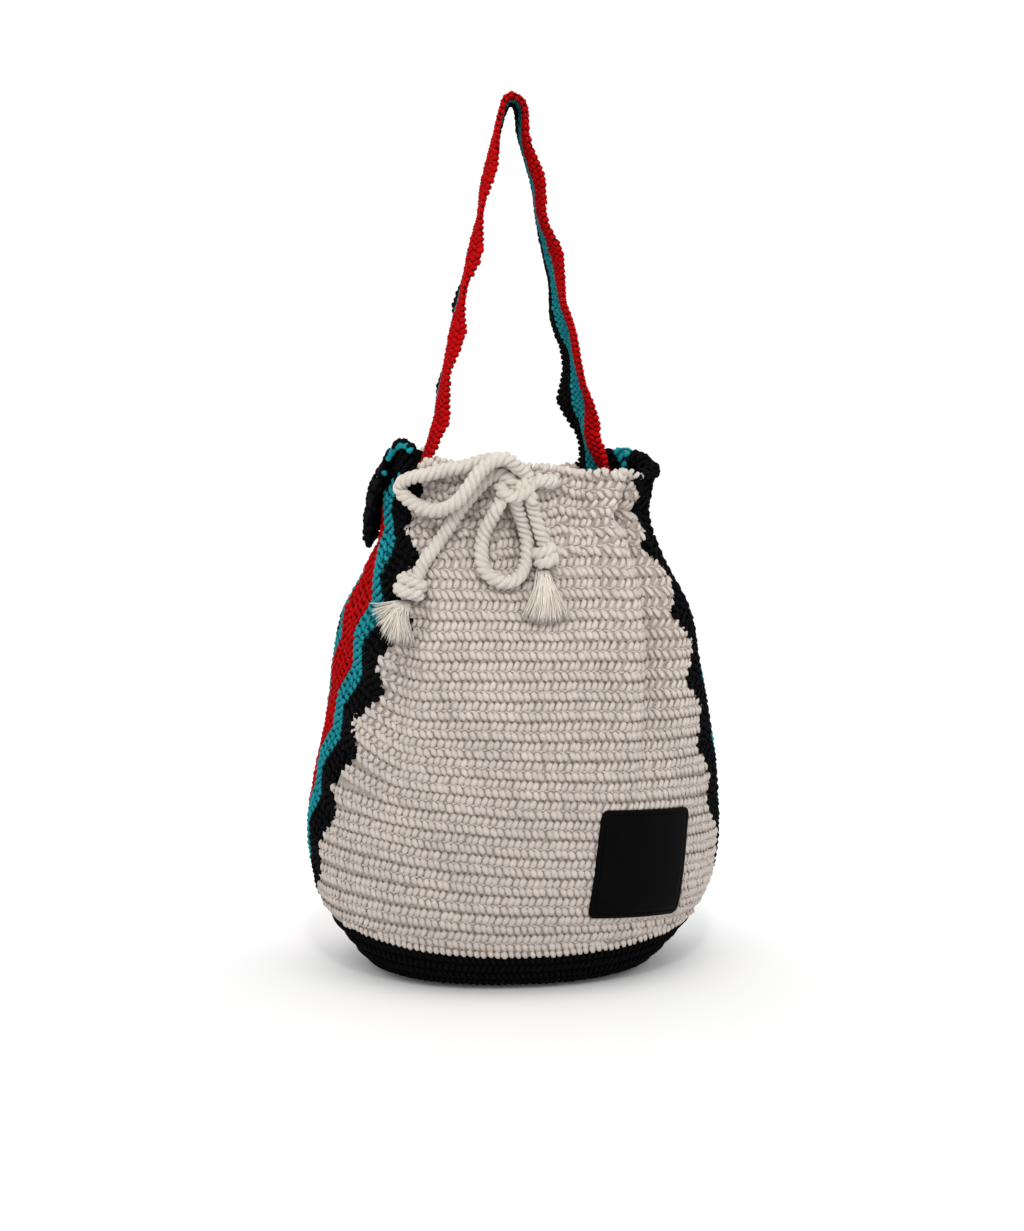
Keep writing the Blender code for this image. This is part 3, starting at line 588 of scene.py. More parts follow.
LOOP_LEFT = (
    (-0.0176, 0.3639, 0.0195), (-0.0255, 0.3703, 0.0205), (-0.0341, 0.3681, 0.0210), (-0.0418, 0.3607, 0.0210),
    (-0.0486, 0.3499, 0.0210), (-0.0553, 0.3402, 0.0205), (-0.0645, 0.3345, 0.0165), (-0.0742, 0.3347, 0.0115),
    (-0.0832, 0.3396, 0.0100), (-0.0891, 0.3459, 0.0100), (-0.0883, 0.3516, 0.0100), (-0.0820, 0.3556, 0.0095),
    (-0.0718, 0.3585, 0.0090), (-0.0576, 0.3621, 0.0085), (-0.0488, 0.3643, 0.0085), (-0.0398, 0.3672, 0.0085),
    (-0.0308, 0.3688, 0.0085), (-0.0235, 0.3666, 0.0088))
LOOP_HANGING = (
    (-0.0275, 0.3413, 0.0150), (-0.0291, 0.3363, 0.0135), (-0.0313, 0.3306, 0.0115), (-0.0354, 0.3220, 0.0095),
    (-0.0384, 0.3130, 0.0085), (-0.0404, 0.3051, 0.0082), (-0.0406, 0.2954, 0.0080), (-0.0361, 0.2883, 0.0080),
    (-0.0281, 0.2856, 0.0080), (-0.0178, 0.2881, 0.0080), (-0.0103, 0.2966, 0.0080), (-0.0077, 0.3077, 0.0082),
    (-0.0082, 0.3171, 0.0086), (-0.0109, 0.3257, 0.0100), (-0.0147, 0.3338, 0.0125), (-0.0169, 0.3405, 0.0145))
TAIL_LEFT = (
    (-0.0277, 0.3585, 0.0090), (-0.0340, 0.3558, 0.0085), (-0.0404, 0.3496, 0.0085), (-0.0462, 0.3429, 0.0085),
    (-0.0516, 0.3360, 0.0085), (-0.0564, 0.3276, 0.0080), (-0.0617, 0.3183, 0.0075), (-0.0692, 0.3090, 0.0072),
    (-0.0771, 0.2993, 0.0072), (-0.0826, 0.2920, 0.0080))
TAIL_RIGHT = (
    (-0.0072, 0.3423, 0.0150), (-0.0054, 0.3371, 0.0120), (-0.0034, 0.3314, 0.0100), (-0.0016, 0.3258, 0.0090),
    (0.0001, 0.3202, 0.0082), (0.0020, 0.3140, 0.0078), (0.0029, 0.3093, 0.0080))

# Cord 1: out of the cloth behind the knot, up, round the left loop, back through the knot, down the right tail
CORD_1 = (((-0.0120, 0.3440, -0.0030), (-0.0105, 0.3480, 0.0030), (-0.0085, 0.3530, 0.0100), (-0.0108, 0.3590, 0.0165))
          + LOOP_LEFT + ((-0.0165, 0.3600, 0.0085), (-0.0110, 0.3510, 0.0085)) + TAIL_RIGHT + ((0.0022, 0.3030, 0.0090),))
# Cord 2: out of the eyelet on the right, over the knot's front, round the hanging loop, back up, down the left tail
CORD_2 = (((0.0150, 0.3505, -0.0040), (0.0085, 0.3515, 0.0040), (0.0008, 0.3534, 0.0085), (-0.0052, 0.3515, 0.0125),
           (-0.0110, 0.3470, 0.0180), (-0.0180, 0.3435, 0.0185), (-0.0250, 0.3455, 0.0150), (-0.0265, 0.3500, 0.0095),
           (-0.0225, 0.3510, 0.0065), (-0.0245, 0.3450, 0.0090))
          + LOOP_HANGING[1:] + ((-0.0165, 0.3480, 0.0125), (-0.0205, 0.3548, 0.0125)) + TAIL_LEFT[0:]
          + ((-0.0868, 0.2860, 0.0090),))
path_1, path_2 = on_cloth(CORD_1), on_cloth(CORD_2)
cord_1 = lobed("rope_cord_left_loop", path_1)
cord_2 = lobed("rope_cord_hanging_loop", path_2, start=1.0)

# The run round the inside of the neck
RING_Z, RING_IN, RING_AT_STRAP = 0.3180, 0.0160, 0.0250
half_neck = perimeter(RING_Z) / 2
ring = []
for k in range(121):
    s = 0.014 + (2 * half_neck - 0.040) * k / 120
    b = s - half_neck
    p, n = plan(b, RING_Z, BACK) if abs(b) < half_neck * 0.6 else plan(s if s < half_neck else s - 2 * half_neck, RING_Z, FRONT)
    t = math.radians(9)
    side = abs((p[1] - ORIGIN[1]) * math.cos(t) - (p[0] - ORIGIN[0]) * math.sin(t))
    w = min(max((0.043 - side) / 0.013, 0), 1)
    q = p - n * (RING_IN + (RING_AT_STRAP - RING_IN) * w * w * (3 - 2 * w))
    ring.append((q[0], q[1], RING_Z))
neck_path = line_through(ring, 0.002)
neck_run = lobed("rope_round_the_neck", neck_path, start=2.0)


def wraps(name, centre, turn, wide, deep, turns, pitch, tilt, r):
    """A knot's wraps: rope coiled round the standing part, pressed against the cloth."""
    pts = []
    n = int(40 * turns)
    for k in range(n + 1):
        a = -2.2 + 2 * math.pi * turns * k / n
        x = wide * math.cos(a)                            # across the standing part
        o = deep * math.sin(a)                            # out of the cloth
        y = pitch * turns * (k / n - 0.5) + tilt * math.cos(a)
        s = centre[0] + x * math.cos(turn) - y * math.sin(turn)
        z = centre[1] + x * math.sin(turn) + y * math.cos(turn)
        pts.append(surf(s, z, centre[2] + o))
    return lobed(name, line_through(np.array(pts), 0.0013), r=r, start=0.7)


bow_knot = wraps("rope_bow_wrap", (-0.0130, 0.3515, 0.0110), math.radians(40), 0.0068, 0.0062, 1.15, 0.0060, 0.0022, ROPE_R)
KNOT_LEFT = (-0.0895, 0.2825, 0.0100)
KNOT_RIGHT = (0.0022, 0.3010, 0.0105)
knot_left = wraps("rope_end_knot_left_wrap", KNOT_LEFT, math.radians(-32), 0.0054, 0.0050, 2.1, 0.0068, 0.0022, 0.0044)
knot_right = wraps("rope_end_knot_right_wrap", KNOT_RIGHT, math.radians(10), 0.0050, 0.0048, 1.9, 0.0062, 0.0026, 0.0042)


def tassel(name, neck, mid, tips, strands, width, seed):
    """Frayed rope end: fine strands that leave the knot together, bunch, and spread out to the tips."""
    g = np.random.default_rng(seed)
    st = Stitches(sides=3)
    neck, mid, tips = np.array(neck), np.array(mid), np.array(tips)
    K = 7
    w = g.dirichlet(np.ones(len(tips)) * 0.38, strands)
    end = w @ tips + g.normal(size=(strands, 3)) * (0.0012, 0.0012, 0.0010)
    ang, rad = g.uniform(0, 6.28, strands), np.sqrt(g.uniform(0, 1, strands))
    a = neck + np.stack([np.cos(ang) * rad * 0.0040, 0 * ang, np.sin(ang) * rad * 0.0036], -1)
    m = mid + (end - tips.mean(0)) * 0.45 + np.stack([0 * ang, 0 * ang, np.sin(ang) * rad * width], -1)
    t = np.linspace(0, 1, K)[None, :, None]
    path = (1 - t) ** 2 * a[:, None] + 2 * t * (1 - t) * m[:, None] + t**2 * end[:, None]
    path[..., 0] += 0.0006 * np.sin(t[..., 0] * 9 + ang[:, None]) * t[..., 0]
    path[..., 2] = np.maximum(path[..., 2], 0.0012)
    P = surf(path[..., 0], path[..., 1], path[..., 2])
    N = unit(P[:, :, :] * (0, 0, 0) + np.array([0.0, -1.0, 0.15]))
    r = np.array([0, 0.75, 0.9, 0.85, 0.75, 0.6, 0])[None] * g.uniform(0.00042, 0.00068, (strands, 1))
    st.add(P, N, r, r, 0, g.uniform(-0.10, 0.12, strands))
    return st.make(name, [frayed])


tassel_left = tassel("rope_frayed_end_left", (-0.0945, 0.2745, 0.0080), (-0.1035, 0.2625, 0.0075),
                     ((-0.1225, 0.2700, 0.006), (-0.1200, 0.2580, 0.005), (-0.1090, 0.2440, 0.005), (-0.0990, 0.2415, 0.005), (-0.0925, 0.2440, 0.006)),
                     230, 0.0045, 5)
tassel_right = tassel("rope_frayed_end_right", (0.0000, 0.2950, 0.0085), (-0.0006, 0.2760, 0.0085),
                      ((-0.0200, 0.2604, 0.0055), (-0.0115, 0.2562, 0.006), (-0.0019, 0.2539, 0.006), (0.0085, 0.2562, 0.006), (0.0182, 0.2601, 0.0055)),
                      260, 0.0045, 6)

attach(cord_1, "root")
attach(cord_2, "root")
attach(neck_run, "root")
for piece in (bow_knot, knot_left, knot_right, tassel_left, tassel_right):
    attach(piece, "root")
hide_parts("rope_loop_left", "rope_tail_right")
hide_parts("rope_loop_hanging", "rope_tail_left")
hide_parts("rope_neck_run")
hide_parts("rope_bow_knot")
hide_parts("rope_end_knot_left")
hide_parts("rope_end_knot_right")
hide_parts("rope_tassel_left")
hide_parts("rope_tassel_right")
print("cord lengths", round(length_of(path_1), 4), round(length_of(path_2), 4), round(length_of(neck_path), 4))

# ---------------------------------------------------------------------------------------------
# How the cloth lies
# ---------------------------------------------------------------------------------------------
MID = -WALL / 2


def rumple(s, z):
    """Extra unevenness of the gathered neck above and below the drawstring."""
    k = smooth((z - 0.285) / 0.03)
    cinch = -0.0030 * np.exp(-((z - 0.3255) / 0.006) ** 2) * smooth((np.abs(s) - 0.045) / 0.03)
    return k * (0.0018 * wander(s, z, 11, 0.021) + 0.0009 * wander(s, z, 12, 0.011)) + cinch


VIEW = math.radians(9)
SIDEWAYS = np.array([math.cos(VIEW), math.sin(VIEW)])
PUFF_FRONT = ((0.22, 0.0), (0.25, 0.002), (0.29, 0.004), (0.31, 0.0045), (0.3255, -0.0030), (0.338, 0.0045), (0.350, 0.0070), (0.37, 0.0060))
TUCK_LEFT = ((0.11, 0.0), (0.15, 0.0030), (0.20, 0.0055), (0.235, 0.0045), (0.27, 0.0015), (0.30, 0.0))
PUFF_SIDE = ((0.22, 0.0), (0.25, 0.003), (0.30, 0.0050), (0.326, 0.0056), (0.345, 0.0110), (0.38, 0.0105))


def M_front(s, z, o):
    s, z, o = np.broadcast_arrays(s, z, o)
    p, n = plan(s, z, FRONT)
    p = p + (column(PUFF_FRONT, z) * smooth((s - 0.035) / 0.04))[..., None] * SIDEWAYS
    q = p + n * (o + swell(s, z) + rumple(s, z))[..., None]
    return np.concatenate([q, z[..., None]], -1)


def back_edges(z):
    half = perimeter(z) / 2
    return -(half - (seam_right(z) + column(GUSSET_W, z))), half - (-seam_left(z) + column(GUSSET_W, z))


def M_back(b, z, o):
    b, z, o = np.broadcast_arrays(b, z, o)
    lo, hi = back_edges(z)
    p, n = plan(b, z, BACK)
    q = p + n * (o + swell_back(b - (lo + hi) / 2, z, (hi - lo) / 2) + rumple(b, z) * 0.8)[..., None]
    return np.concatenate([q, z[..., None]], -1)


def table_of(rows):
    t = np.array(rows, float)
    return lambda u: np.interp(u, t[:, 0], t[:, 1])


# For each gusset, along its top edge from the front seam (0) to the back seam (1): how high the fold starts, how far it
# flares outward and how long the turned-out part is
START = {-1: table_of(((0, .3725), (.05, .3760), (.12, .3770), (.20, .3740), (.28, .3675), (.40, .3590), (.55, .3550), (.80, .3550), (1, .3560))),
         1: table_of(((0, .3500), (.12, .3505), (.25, .3525), (.45, .3565), (.7, .3600), (.85, .3580), (1, .3530)))}
FLARE = {-1: table_of(((0, .05), (.10, .08), (.25, .14), (.38, .24), (.50, .28), (.65, .28), (.80, .26), (1, .15))),
         1: table_of(((0, .02), (.12, .03), (.30, .05), (.60, .12), (.85, .12), (1, .02)))}
DROP = {-1: table_of(((0, .002), (.15, .003), (.26, .006), (.34, .028), (.42, .052), (.55, .058), (.70, .052), (.80, .044), (1, .030))),
        1: table_of(((0, .002), (.12, .003), (.30, .004), (.60, .012), (.85, .012), (1, .004)))}


def fold_profile(flare, n=121, step=0.001):
    """Outward and upward travel along the cloth beyond the fold's start: over the crest, out along a soft shoulder,
    then down, with the free end turned out a little."""
    d = np.arange(n) * step
    crest = 2.15 - 0.0 * flare
    radius = 0.0022 + 0.0016 * flare
    th = np.minimum(d / radius, crest)
    d1 = radius * crest
    slope = 2.75 - 0.62 * flare
    th = np.where(d > d1, crest + (slope - crest) * smooth((d - d1) / 0.004), th)
    th = np.where(d > d1 + 0.004, slope + (3.10 - slope) * smooth((d - d1 - 0.004) / (0.012 + 0.030 * flare)), th)
    th = np.where(d > d1 + 0.050, 3.10 - 0.30 * flare * smooth((d - d1 - 0.050) / 0.016), th)
    a = np.concatenate([[0], np.cumsum((np.sin(th[1:]) + np.sin(th[:-1])) / 2 * step)])
    z = np.concatenate([[0], np.cumsum((np.cos(th[1:]) + np.cos(th[:-1])) / 2 * step)])
    return np.stack([a, z, th], -1)


PROFILE = np.array([fold_profile(f) for f in np.linspace(0, 1, 21)])


def on_profile(flare, d):
    fi = np.clip(flare, 0, 1) * 20
    fj = np.clip(d, 0, 0.119) / 0.001
    i, j = np.clip(fi.astype(int), 0, 19), np.clip(fj.astype(int), 0, 119)
    u, v = (fi - i)[..., None], (fj - j)[..., None]
    return ((1 - u) * (1 - v) * PROFILE[i, j] + (1 - u) * v * PROFILE[i, j + 1]
            + u * (1 - v) * PROFILE[i + 1, j] + u * v * PROFILE[i + 1, j + 1])


ZIG, PERIOD, PEAK = 0.0088, 0.0458, {-1: 0.1180, 1: 0.1180}
ROW_W = 0.118 / 16


def gusset_map(side):
    """Cloth map of a gusset: q is the distance from its front seam (0 to 0.118), h the height along the cloth, which
    folds outward at the crest; o is the height over the outer face's side of the cloth's middle."""
    def M(q, h, o):
        q, h, o = np.broadcast_arrays(q, h, o)
        u = np.clip(q / 0.118, 0, 1)
        h0 = START[side](u)
        d = np.maximum(h - h0, 0)
        a, dz, th = np.moveaxis(on_profile(FLARE[side](u), d), -1, 0)
        z = np.where(h < h0, h, h0 + dz)
        a, th = np.where(h < h0, 0, a), np.where(h < h0, 0, th)
        zp = np.clip(z, 0, 0.389)
        zp = np.where(h > h0, np.maximum(zp, 0.322), zp)
        seam = seam_left(zp) if side < 0 else seam_right(zp)
        s = seam + side * q * column(GUSSET_W, zp) / 0.118
        p, n = plan(s, zp, FRONT)
        across = side * SIDEWAYS
        if side < 0:
            p = p + (column(TUCK_LEFT, zp) * smooth(q / 0.03) * smooth((1 - u) / 0.4))[..., None] * SIDEWAYS
        else:
            k = smooth(q / 0.020)
            puff = (1 - k) * column(PUFF_FRONT, zp) + k * column(PUFF_SIDE, zp)
            p = p + (puff * (1 - smooth((u - 0.55) / 0.35)))[..., None] * SIDEWAYS
        k = (0.78 * smooth(d / 0.012))[..., None]
        n = unit(n * (1 - k) + across * k)
        bumps = 0.0014 * smooth((z - 0.27) / 0.03) * np.sin(s / 0.0052) * smooth(u / 0.15) * smooth((1 - u) / 0.15)
        bumps = bumps * (1 - smooth(d / 0.01)) + smooth(d / 0.02) * 0.0016 * wander(q, h, 41, 0.03)
        xy = p + n * (MID + a + o * np.cos(th) + bumps)[..., None]
        return np.concatenate([xy, (z - o * np.sin(th))[..., None]], -1)

    def top(q):
        u = np.clip(q / 0.118, 0, 1)
        return START[side](u) + 0.006 + DROP[side](u)

    return M, top


def zigzag(h, side):
    """Shift of the gusset's rows towards the front seam."""
    fade = smooth((0.50 - h) / 0.05)
    return ZIG * tri((h - PEAK[side]) / PERIOD) * fade


def row_shift(q, h, side):
    """How far the row that starts q from the front seam is shifted towards that seam at height h."""
    return zigzag(h - (0.32 * q if side < 0 else 0.0), side)


def base_edge_at(s, z):
    return base_edge(np.minimum(np.abs(s), perimeter(z) / 2 - np.abs(s)))


# Leg of a stitch: (along the row, across it, height) of five points, and its half widths
LEG_T = np.array([0.0, 0.12, 0.5, 0.88, 1.0])
LEG_A = np.array([0.0, 0.84, 1.0, 0.84, 0.0])


def leg(slant, v0, v1, rise=0.0010, low=-0.0012):
    return slant * (-1 + 2 * LEG_T), v0 + (v1 - v0) * LEG_T, low + rise * np.sin(np.pi * LEG_T)


PITCH, DOUBLE = 0.0048, 0.0134


def field(st, M, keep, tilt, s_range, top_z, rows, mat=0, proud=0.0):
    """Double rows of stitches: a band of legs leaning one way, a line of small curls, a band leaning the other way."""
    for i in range(rows):
        zc = top_z - i * DOUBLE
        s = np.arange(math.floor(s_range[0] / PITCH), math.ceil(s_range[1] / PITCH) + 1) * PITCH
        s = s + 0.5 * PITCH * (i % 2) + 0.0003 * rng.normal(size=len(s))
        neck = smooth((zc - 0.275) / 0.04)
        z = zc + tilt(s, zc) + 0.00045 * wander(s, np.full_like(s, zc), 21, 0.05)
        z = z + neck * (0.0016 * wander(s, np.full_like(s, zc), 25, 0.022) + 0.0007 * rng.normal(size=len(s)))
        slope = np.gradient(z, s)
        e1 = np.stack([1 / np.hypot(1, slope), slope / np.hypot(1, slope)], -1)
        e2 = np.broadcast_to(np.array([0.0, 1.0]), e1.shape)
        tone = (0.05 + 0.05 * neck) * rng.normal(size=len(s)) + 0.05 * wander(s, z, 22, 0.04)
        for kind in ("up", "down", "curl", "bar"):
            if kind == "up":
                u, v, o = leg(0.00175, 0.0002, 0.0063)
                ra, rn, dv = 0.00240 * LEG_A, 0.00140 * LEG_A, 0.0034
            elif kind == "down":
                u, v, o = leg(0.00175, -0.0002, -0.0063)
                ra, rn, dv = 0.00240 * LEG_A, 0.00140 * LEG_A, -0.0034
            elif kind == "curl":
                u = np.array([0.0002, 0.0009, 0.0022, 0.0034, 0.0040])
                v = np.array([0.0009, 0.0003, -0.0002, 0.0003, 0.0010])
                o = np.array([-0.0016, -0.0009, -0.0005, -0.0009, -0.0016])
                ra, rn, dv = 0.00085 * LEG_A, 0.0009 * LEG_A, 0.0
            else:
                u = np.array([0.0014, 0.0017, 0.0023, 0.0029, 0.0032])
                v = np.array([0.0067, 0.0067, 0.0067, 0.0067, 0.0067])
                o = np.array([-0.0006, -0.0003, -0.0001, -0.0003, -0.0006])
                ra, rn, dv = 0.00085 * LEG_A, 0.0005 * LEG_A, 0.0067
            ok = keep(s, z + dv)
            # The bars take the dark shade-in-the-holes material and the curls a darker tone: painted shade along the
            # hole line and on the sunken curls.
            lay(st, M, s[ok], z[ok], e1[ok], e2[ok], u, v, o + proud, ra, rn, 1 if kind == "bar" else mat, tone[ok] - (0.06 if kind == "curl" else 0))


def edging(st, M, s, z, mat, size=0.0021, slant=0.0012, height=0.0028, o=-0.0006, tone=0.02):
    """A row of slanting stitches along an edge."""
    d = np.stack([np.gradient(s), np.gradient(z)], -1)
    d = unit(d)
    e2 = np.stack([-d[:, 1], d[:, 0]], -1)
    u, v, oo = leg(slant, -height, height, rise=0.0012, low=o)
    lay(st, M, s, z, d, e2, u, v, oo, size * LEG_A, 0.85 * size * LEG_A, mat, tone + 0.04 * rng.normal(size=len(s)))


# ---------------------------------------------------------------------------------------------
# Front panel
# ---------------------------------------------------------------------------------------------
RIM = np.array(((-0.1000, 0.3600), (-0.0846, 0.3614), (-0.0772, 0.3680), (-0.0665, 0.3685), (-0.0525, 0.3661), (0.0033, 0.3636),
                (0.0191, 0.3613), (0.0343, 0.3579), (0.0488, 0.3580), (0.0731, 0.3555), (0.0946, 0.3477), (0.11, 0.3460)))
TILT = ((0.03, 0.03), (0.06, 0.055), (0.09, 0.08), (0.13, 0.08), (0.18, 0.04), (0.254, 0.03), (0.40, 0.03))


def rim_z(s):
    return np.interp(s, RIM[:, 0], RIM[:, 1])


def front_tilt(s, z):
    fold = -column(CREASE_L, z) * -seam_left(z)
    past = np.maximum(fold - s, 0)
    climb = 0.46 * smooth((z - 0.105) / 0.05) * smooth((0.30 - z) / 0.04)
    return (-column(TILT, z) * s - 0.0022 * smooth((s - 0.055) / 0.03) * smooth((z - 0.15) / 0.03)
            + climb * (np.sqrt(past**2 + 0.003**2) - 0.003))


def front_keep(s, z):
    return ((s > seam_left(z) + zigzag(z, -1) + 0.0016)
            & (s < seam_right(z) - zigzag(z, 1) - 0.0016)
            & (z < rim_z(s) - 0.0022) & (z > base_edge_at(s, z) + 0.0042))


front_st = Stitches()
field(front_st, M_front, front_keep, front_tilt, (-0.205, 0.20), 0.3720, 28)
s = np.arange(-0.082, 0.088, 0.0046)
edging(front_st, M_front, s, rim_z(s) - 0.0020, 0, size=0.0022, height=0.0024, o=-0.0022)
s = np.arange(-0.150, 0.150, 0.0048)
edging(front_st, M_front, s, base_edge_at(s, np.full_like(s, 0.03)) + 0.0024, 0, size=0.0021, slant=-0.0014, height=0.0024)
front_stitches = front_st.make("front_panel_stitches", [cream, holes])

u = np.linspace(0, 1, 150)[:, None]
v = np.linspace(0, 1, 110)[None, :]
Z = np.full((150, 110), 0.2)
for _ in range(8):
    lo, hi = seam_left(Z) + 0.0004, seam_right(Z) - 0.0004
    S = lo + (hi - lo) * u
    z0 = base_edge_at(S, Z) + 0.0006
    Z = z0 + v * (rim_z(S) - 0.0035 - z0)
sc, zc = (S[:-1, :-1] + S[1:, 1:]) / 2, (Z[:-1, :-1] + Z[1:, 1:]) / 2
index = ((sc < seam_left(zc) + zigzag(zc, -1) + 0.0015) | (sc > seam_right(zc) - zigzag(zc, 1) - 0.0015)).astype(int).ravel()
front_cloth = cloth("front_panel_cloth", M_front, S, Z, -0.0009, -WALL, [cream_cloth, black_cloth], index)

# ---------------------------------------------------------------------------------------------
# Back panel
# ---------------------------------------------------------------------------------------------


def back_rim(b):
    lo, hi = back_edges(0.355)
    t = np.clip((b - lo) / (hi - lo), 0, 1)
    zr, zl = RIM_Z - RIM_SLOPE * 0.0873, RIM_Z + RIM_SLOPE * 0.0873
    return zr + (zl - zr) * t - RIM_BACK_DROP * np.minimum(1, np.sin(np.pi * t) * 1.6) ** 2


def back_keep(b, z):
    lo, hi = back_edges(z)
    return ((b > lo - zigzag(z, 1) + 0.0016) & (b < hi + row_shift(0.118, z, -1) - 0.0016)
            & (z < back_rim(b) - 0.0022) & (z > base_edge_at(b, z) + 0.0042))


back_st = Stitches()
field(back_st, M_back, back_keep, lambda b, z: 0.03 * b, (-0.14, 0.14), 0.3700, 28)
b = np.arange(-0.052, 0.056, 0.0046)
edging(back_st, M_back, b, back_rim(b) - 0.0020, 0, size=0.0022, height=0.0024, o=-0.0022)
b = np.arange(-0.090, 0.090, 0.0048)
edging(back_st, M_back, b, base_edge_at(b, np.full_like(b, 0.03)) + 0.0024, 0, size=0.0021, slant=-0.0014, height=0.0024)
back_stitches = back_st.make("back_panel_stitches", [cream, holes])

u = np.linspace(0, 1, 110)[:, None]
v = np.linspace(0, 1, 90)[None, :]
Z = np.full((110, 90), 0.2)
for _ in range(8):
    lo, hi = back_edges(Z)
    B = lo + 0.0004 + (hi - lo - 0.0008) * u
    z0 = base_edge_at(B, Z) + 0.0006
    Z = z0 + v * (back_rim(B) - 0.0035 - z0)
bc, zc = (B[:-1, :-1] + B[1:, 1:]) / 2, (Z[:-1, :-1] + Z[1:, 1:]) / 2
lo, hi = back_edges(zc)
index = ((bc < lo - zigzag(zc, 1) + 0.0015) | (bc > hi + row_shift(0.118, zc, -1) - 0.0015)).astype(int).ravel()
back_cloth = cloth("back_panel_cloth", M_back, B, Z, -0.0009, -WALL, [cream_cloth, black_cloth], index)

# ---------------------------------------------------------------------------------------------
# Gussets
# ---------------------------------------------------------------------------------------------


def colour_of_row(r, side):
    """0 black, 1 teal, 2 red. The right gusset's black stripe is the wider one."""
    r = np.asarray(r)
    e = (4, 7, 13, 15) if side < 0 else (5, 7, 10, 12)
    return np.where(r < e[0], 0, np.where(r < e[1], 1, np.where(r < e[2], 2, np.where(r < e[3], 1, 0))))


def cloth_colour(q, h, side):
    """Colour of a gusset's cloth under its stitches; the turned-out part of the left one is all black."""
    u = np.clip(q / 0.118, 0, 1)
    q0 = q + row_shift(q, h, side)
    q0 = q + row_shift(q0, h, side)
    col = colour_of_row(np.round(q0 / ROW_W), side)
    d = h - START[side](u)
    if side < 0:
        return np.where(((d > 0.006) & (u > 0.28)) | (d > -0.015), 0, col)
    return np.where((h > 0.335) & (u < 0.62), 0, col)


def gusset(side):
    M, top = gusset_map(side)
    st = Stitches()
    half = 0.00275
    pitch_h = 0.0048
    for r in range(17):
        h = 0.024 + pitch_h * np.arange(0, 110) + (0.5 * pitch_h if r % 2 else 0)
        q = r * ROW_W - row_shift(r * ROW_W, h, side)
        slope = np.gradient(q, h)
        e1 = unit(np.stack([slope, np.ones_like(slope)], -1))
        e2 = np.stack([e1[:, 1], -e1[:, 0]], -1)
        seam = seam_left(np.minimum(h, 0.38)) if side < 0 else seam_right(np.minimum(h, 0.38))
        s_abs = np.abs(seam) + q * column(GUSSET_W, np.minimum(h, 0.38)) / 0.118
        edge = base_edge(np.minimum(s_abs, perimeter(np.minimum(h, 0.38)) / 2 - s_abs))
        end = top(q)
        ok = (h > edge + 0.0030) & (h < end - 0.0012) & (q > -0.0135) & (q < 0.1315)
        col = np.full(len(h), int(colour_of_row(r, side)))
        tone = 0.05 * rng.normal(size=len(h)) + 0.04 * wander(h, q, 31, 0.04)
        sl = 0.0013 if r % 2 else -0.0013
        h0 = START[side](np.clip(q / 0.118, 0, 1))
        u = np.clip(q / 0.118, 0, 1)
        if side < 0:
            colours = col = np.where(h > h0 - 0.015, 0, col)
        else:
            colours = col = np.where((h > 0.335) & (u < 0.62), 0, col)
        # outer face; from the crest on it is inside the fold
        out = ok & (h < h0 + 0.012)
        u, v, o = leg(sl, -0.0034, 0.0034, rise=0.0010, low=half - (0.0008 if r in (0, 16) else 0.0012))
        lay(st, M, q[out], h[out], e1[out], e2[out], u, v, o, 0.00215 * LEG_A, 0.00145 * LEG_A, col[out], tone[out])
        # a short bar across each stitch, laid lower than the legs and given a darker tone: painted shade
        u = np.array([-0.0022, -0.0012, 0.0, 0.0012, 0.0022])
        v = np.array([0.0037, 0.0035, 0.0037, 0.0039, 0.0037])
        o = np.array([-0.0022, -0.0010, -0.0006, -0.0010, -0.0022]) + half
        lay(st, M, q[out], h[out], e1[out], e2[out], u, v, o, 0.0009 * LEG_A, 0.0009 * LEG_A, col[out], tone[out] - 0.05)
        # inner face; it shows inside the mouth and, turned over, on the cuff
        inn = ok & (h > h0 - 0.022)
        u, v, o = leg(-sl, -0.0034, 0.0034, rise=-0.0010, low=-half + 0.0012)
        lay(st, M, q[inn], h[inn], e1[inn], e2[inn], u, v, o, 0.00215 * LEG_A, 0.00145 * LEG_A, colours[inn], tone[inn])
    # a firm edge along the end of the cuff
    q = np.arange(0.002, 0.117, 0.0046)
    h = top(q)
    d = unit(np.stack([np.gradient(q), np.gradient(h)], -1))
    e2 = np.stack([-d[:, 1], d[:, 0]], -1)
    end_colours = np.where(q < 0.036, 1, 0) if side < 0 else cloth_colour(q, h, side)
    u, v, o = leg(0.0012, -0.0026, 0.0022, rise=0.0004, low=0.0)
    lay(st, M, q, h - 0.001, d, e2, u, v, o, 0.0024 * LEG_A, 0.0026 * LEG_A, end_colours, 0.02 * rng.normal(size=len(q)))
    name = "left_gusset" if side < 0 else "right_gusset"
    stitches = st.make(name + "_stitches", [black, teal, red])
    nq, nh = 73, 200
    Q = np.linspace(0.0006, 0.1174, nq)[:, None] * np.ones((1, nh))
    seam = seam_left(0.03) if side < 0 else seam_right(0.03)
    s_abs = np.abs(seam) + Q * column(GUSSET_W, 0.03) / 0.118
    z0 = base_edge(np.minimum(s_abs, perimeter(0.03) / 2 - s_abs)) + 0.0006
    H = z0 + np.linspace(0, 1, nh)[None] * (top(Q) - 0.0008 - z0)
    qc = (Q[:-1, :-1] + Q[1:, 1:]) / 2
    hc = (H[:-1, :-1] + H[1:, 1:]) / 2
    index = cloth_colour(qc, hc, side).ravel()
    ob = cloth(name + "_cloth", M, Q, H, 0.0007, -0.0007, [black_cloth, teal_cloth, red_cloth], index)
    return ob, stitches


left_cloth, left_stitches = gusset(-1)
right_cloth, right_stitches = gusset(1)

# ---------------------------------------------------------------------------------------------
# Shoulder strap
# ---------------------------------------------------------------------------------------------
STRAP_W, STRAP_T = 0.048, 0.0045
